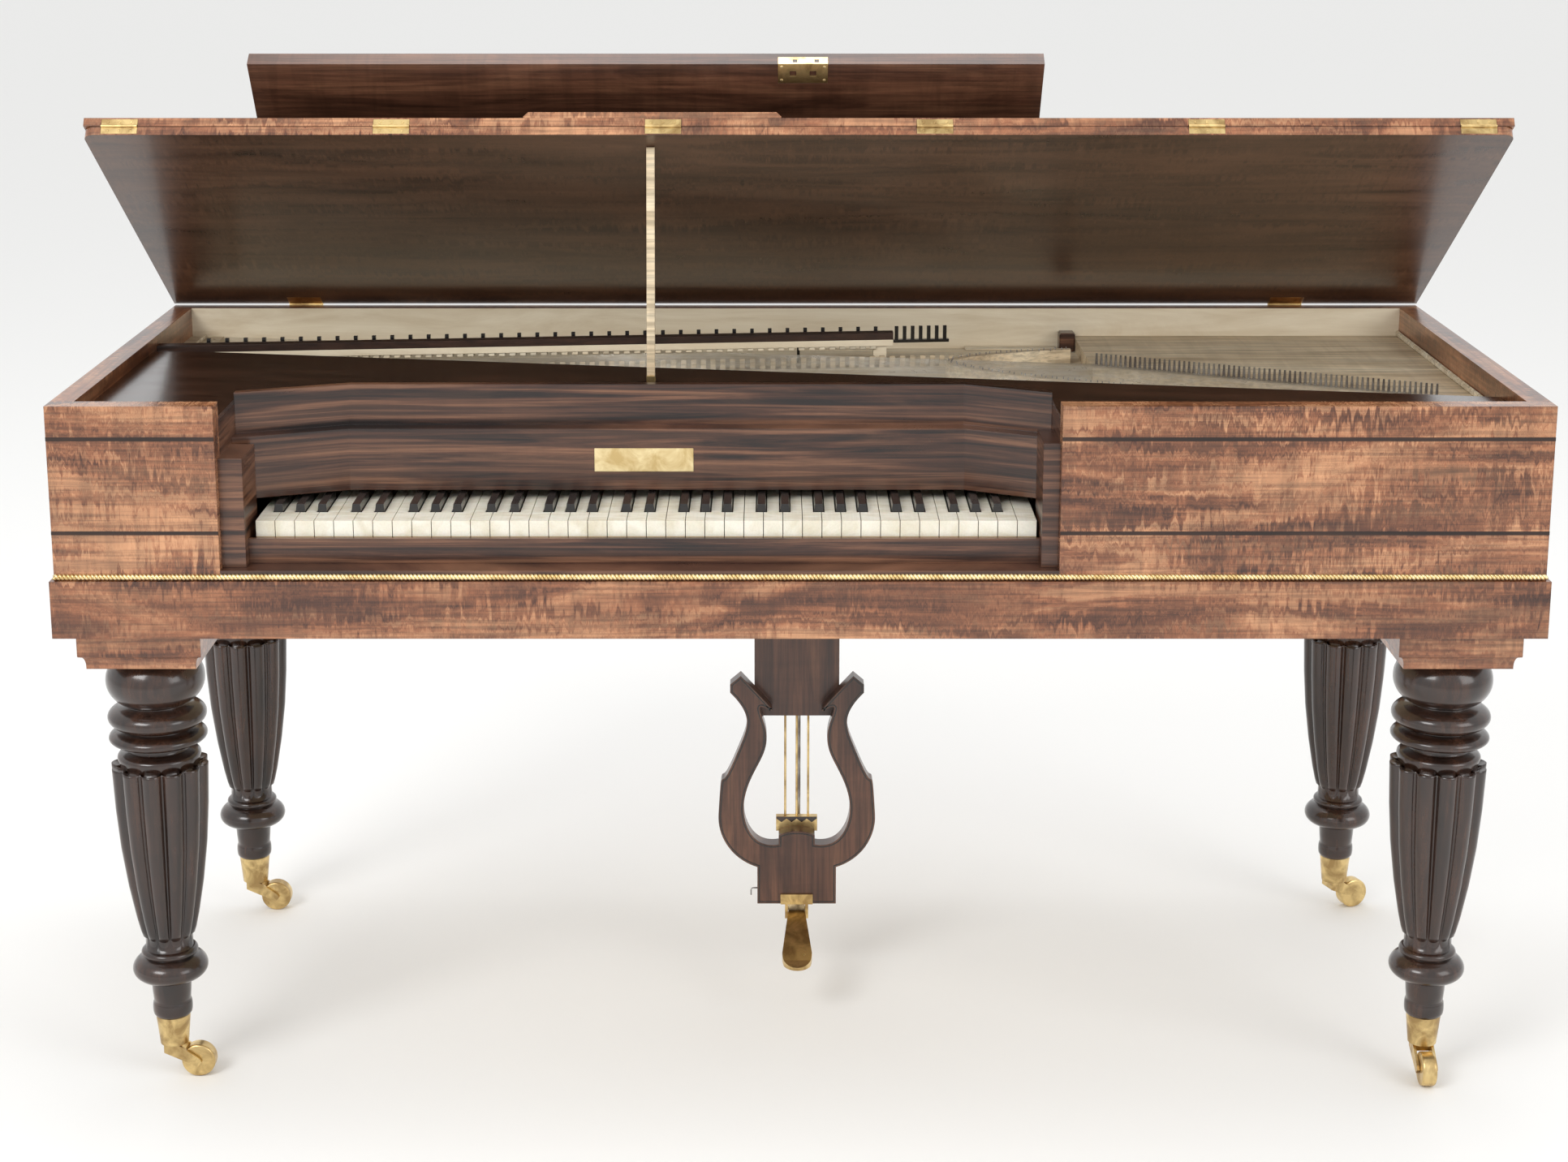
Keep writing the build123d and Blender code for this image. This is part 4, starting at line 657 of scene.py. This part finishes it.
string_z = (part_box("strings")[0].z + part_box("strings")[1].z) / 2
coils, flats_bm = [], bmesh.new()
for low, high in islands("tuning_pins"):
    x, y, r = (low[0] + high[0]) / 2, (low[1] + high[1]) / 2, (high[0] - low[0]) / 2
    path = [Vector((x + (r - 0.0001) * math.sin(k * 0.6), y - (r - 0.0001) * math.cos(k * 0.6), string_z - 0.0001 * k * 0.6))
            for k in range(22)]
    coils.append(tube(path, WIRE_R, 5))
    for z0, z1, r0, r1 in ((low[2], high[2] - 0.0085, r * 0.82, r * 0.80), (high[2] - 0.0085, high[2] - 0.0002, r * 0.74, r * 0.60)):
        shape = Matrix.Translation((x, y, (z0 + z1) / 2))
        segments = 12 if r0 > r * 0.78 else 4
        bmesh.ops.create_cone(flats_bm, cap_ends=True, segments=segments, radius1=r0, radius2=r1, depth=z1 - z0, matrix=shape)
pins_piece = piece("tuning_pins_flatted", flats_bm, "steel", "case", smooth=False)
flats_bm.free()
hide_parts("tuning_pins")
piece("pin_coils", joined(coils), "steel", "case")


# Bridge pins in a zigzag row along the curved bridge
def curve_through(points, per_span):
    """Smooth points through the given ones."""
    ends = [points[0] * 2 - points[1], *points, points[-1] * 2 - points[-2]]
    made = []
    for p0, p1, p2, p3 in zip(ends, ends[1:], ends[2:], ends[3:]):
        for k in range(per_span):
            t = k / per_span
            made.append(0.5 * (2 * p1 + (p2 - p0) * t + (2 * p0 - 5 * p1 + 4 * p2 - p3) * t ** 2
                               + (3 * p1 - p0 - 3 * p2 + p3) * t ** 3))
    return made + [points[-1]]


bridge_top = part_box("bridge")[1].z
bridge_points = [Vector((x / 1000, FRONT_Y + q / 1000, bridge_top)) for x, q in
                 ((372, 545), (262, 512), (203, 460), (262, 385), (387, 313), (531, 240))]
bridge_line = curve_through(bridge_points, 60)
bridge_pins, run, side = [], 0.0, 1
for a, b in zip(bridge_line, bridge_line[1:]):
    run += (b - a).length
    if run > 0.0068:
        run, side = 0.0, -side
        across = Vector((-(b - a).y, (b - a).x, 0)).normalized() * 0.0018 * side
        bridge_pins.append(tube([a + across - Vector((0, 0, 0.001)), a + across + Vector((0, 0, 0.0032))], 0.0007, 6))
piece("bridge_pins", joined(bridge_pins), "steel", "case")

# Lyre: a dark line inside its edge, dark teeth on the plate behind its boss and a wire hook on the block
def outline_loops(node, front_y):
    """Loops of points round the front face of a node that looks along -Y."""
    mesh = nodes[node].data
    tally = {}
    for polygon in mesh.polygons:
        points = [mesh.vertices[i].co for i in polygon.vertices]
        if all(abs(p.y - front_y) < 0.00001 for p in points):
            keys = [(round(p.x, 6), round(p.z, 6)) for p in points]
            for a, b in zip(keys, keys[1:] + keys[:1]):
                tally[(a, b)] = tally.get((a, b), 0) + 1
    ahead = {a: b for a, b in tally if (b, a) not in tally}
    loops = []
    while ahead:
        first = next(iter(ahead))
        loop, here = [], first
        while here in ahead:
            loop.append(here)
            here = ahead.pop(here)
        loops.append(loop)
    return loops


def moved_in(loop, distance):
    """Points of a loop moved to its inner side; the loop runs round a face that looks along -Y."""
    made = []
    for p0, p1, p2 in zip(loop[-1:] + loop[:-1], loop, loop[1:] + loop[:1]):
        d0 = Vector((p1[0] - p0[0], p1[1] - p0[1])).normalized()
        d1 = Vector((p2[0] - p1[0], p2[1] - p1[1])).normalized()
        n0, n1 = Vector((-d0.y, d0.x)), Vector((-d1.y, d1.x))
        both = (n0 + n1).normalized()
        reach = min(distance / max(both.dot(n0), 0.5), distance * 1.6)
        made.append((p1[0] + both.x * reach, p1[1] + both.y * reach))
    return made


lyre_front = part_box("lyre")[0].y
EDGE_GAP, EDGE_WIDTH, EDGE_LIFT = 0.0020, 0.0014, 0.0004
edge_verts, edge_faces = [], []
for loop in outline_loops("lyre", lyre_front):
    kept = [loop[0]]
    for point in loop[1:]:
        if math.dist(point, kept[-1]) > 0.0012:
            kept.append(point)
    outer, inner = moved_in(kept, EDGE_GAP), moved_in(kept, EDGE_GAP + EDGE_WIDTH)
    count, shift = len(kept), len(edge_verts)
    for lift, ring in ((-EDGE_LIFT, outer), (-EDGE_LIFT, inner), (0.0005, outer), (0.0005, inner)):
        edge_verts += [(x, lyre_front + lift, z) for x, z in ring]
    for k in range(count):
        n = (k + 1) % count
        for a, b in ((0, 1), (1, 3), (3, 2), (2, 0)):
            corners = (a * count + k, a * count + n, b * count + n, b * count + k)
            edge_faces.append(tuple(i + shift for i in corners))
piece("lyre_edge_line", (edge_verts, [], edge_faces), "ebony", "case", smooth=False)

PLATE_HALF, PLATE_FACE_Y, PLATE_TEETH = 0.027, 0.0216, 4
teeth = [(-PLATE_HALF, 0.2338), (PLATE_HALF, 0.2338)]
teeth += [(PLATE_HALF - k * PLATE_HALF / PLATE_TEETH, 0.2262 if k % 2 else 0.2312) for k in range(2 * PLATE_TEETH + 1)]
count = len(teeth)
plate_verts = [(x, PLATE_FACE_Y + depth, z) for depth in (0.0, 0.001) for x, z in teeth]
plate_faces = [tuple(range(count)), tuple(reversed(range(count, 2 * count)))]
plate_faces += [(k, k + count, (k + 1) % count + count, (k + 1) % count) for k in range(count)]
piece("plate_teeth", (plate_verts, [], plate_faces), "dark_board", "case", smooth=False)

HOOK = [(-0.052, 0.137), (-0.0585, 0.137), (-0.0602, 0.1362), (-0.061, 0.1345), (-0.061, 0.127)]
hook_path = [Vector((x, 0.011, z)) for x, z in HOOK]
piece("lyre_hook", joined([tube(hook_path, 0.0009, 8)]), "steel", "case")

# Small pieces on the soundboard: a shaped block by the back board, a pale strip, and a bead under the right wall
inner_bm = bmesh.new()
block_low, block_high = (0.366, 0.286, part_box("soundboard")[1].z), (0.3875, 0.3115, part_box("soundboard")[1].z + 0.026)
bevelled_box(inner_bm, block_low, block_high, 0.0015)
piece("rest_block", inner_bm, "rosewood", "case", smooth=False)
inner_bm.free()
strip_bm = bmesh.new()
bevelled_box(strip_bm, (0.236, 0.299, block_low[2] - 0.0003), (0.362, 0.3118, block_low[2] + 0.004), 0.0008)
plank_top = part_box("wrest_plank")[1].z
bevelled_box(strip_bm, (0.838, FRONT_Y + 0.205, plank_top - 0.0003), (0.8422, 0.3122, plank_top + 0.008), 0.0015)
piece("case_beads", strip_bm, "spruce", "case", smooth=False)
strip_bm.free()

# Camera: the photograph's is level with a long falling front; this one tips down a little so that less is needed
CAMERA_PITCH = math.radians(12.51)
camera_data = bpy.data.cameras.new("camera")
camera = bpy.data.objects.new("camera", camera_data)
bpy.context.scene.collection.objects.link(camera)
camera_data.sensor_width = 36.0
camera_data.lens = 59.645
camera_data.shift_x = 0.0075
camera_data.shift_y = -0.10
camera.location = (-0.0326, -3.2578, 1.4995)
camera.rotation_euler = (math.pi / 2 - CAMERA_PITCH, 0, 0)
bpy.context.scene.camera = camera
bpy.context.scene.render.resolution_x = 1932
bpy.context.scene.render.resolution_y = 1432

# Floor and light
floor_mesh = bpy.data.meshes.new("floor")
floor_mesh.from_pydata([(-30, -30, 0), (30, -30, 0), (30, 30, 0), (-30, 30, 0)], [], [(0, 1, 2, 3)])
floor = bpy.data.objects.new("floor", floor_mesh)
bpy.context.scene.collection.objects.link(floor)
floor_material, floor_tree, floor_shader = new_material("floor")
floor_shader.inputs["Base Color"].default_value = (0.86, 0.86, 0.85, 1)
floor_shader.inputs["Roughness"].default_value = 0.9
floor_mesh.materials.append(floor_material)

world = bpy.data.worlds.new("studio")
bpy.context.scene.world = world
world.use_nodes = True
world.node_tree.nodes["Background"].inputs[0].default_value = (1, 1, 1, 1)
world.node_tree.nodes["Background"].inputs[1].default_value = 0.95


def lamp(name, place, target, size, power):
    """A large soft area lamp that points at a target."""
    data = bpy.data.lights.new(name, "AREA")
    data.shape = "RECTANGLE"
    data.size, data.size_y = size
    data.energy = power
    made = bpy.data.objects.new(name, data)
    bpy.context.scene.collection.objects.link(made)
    made.location = place
    made.rotation_euler = (Vector(target) - Vector(place)).to_track_quat("-Z", "Y").to_euler()


lamp("key", (-2.6, -3.4, 3.6), (0, 0, 0.6), (2.2, 1.6), 95)
lamp("fill", (3.2, -2.6, 2.2), (0, 0, 0.6), (2.0, 2.0), 34)
lamp("top", (0.3, 0.6, 4.2), (0, 0, 0.8), (3.0, 1.6), 40)

bpy.context.scene.view_settings.view_transform = "Standard"
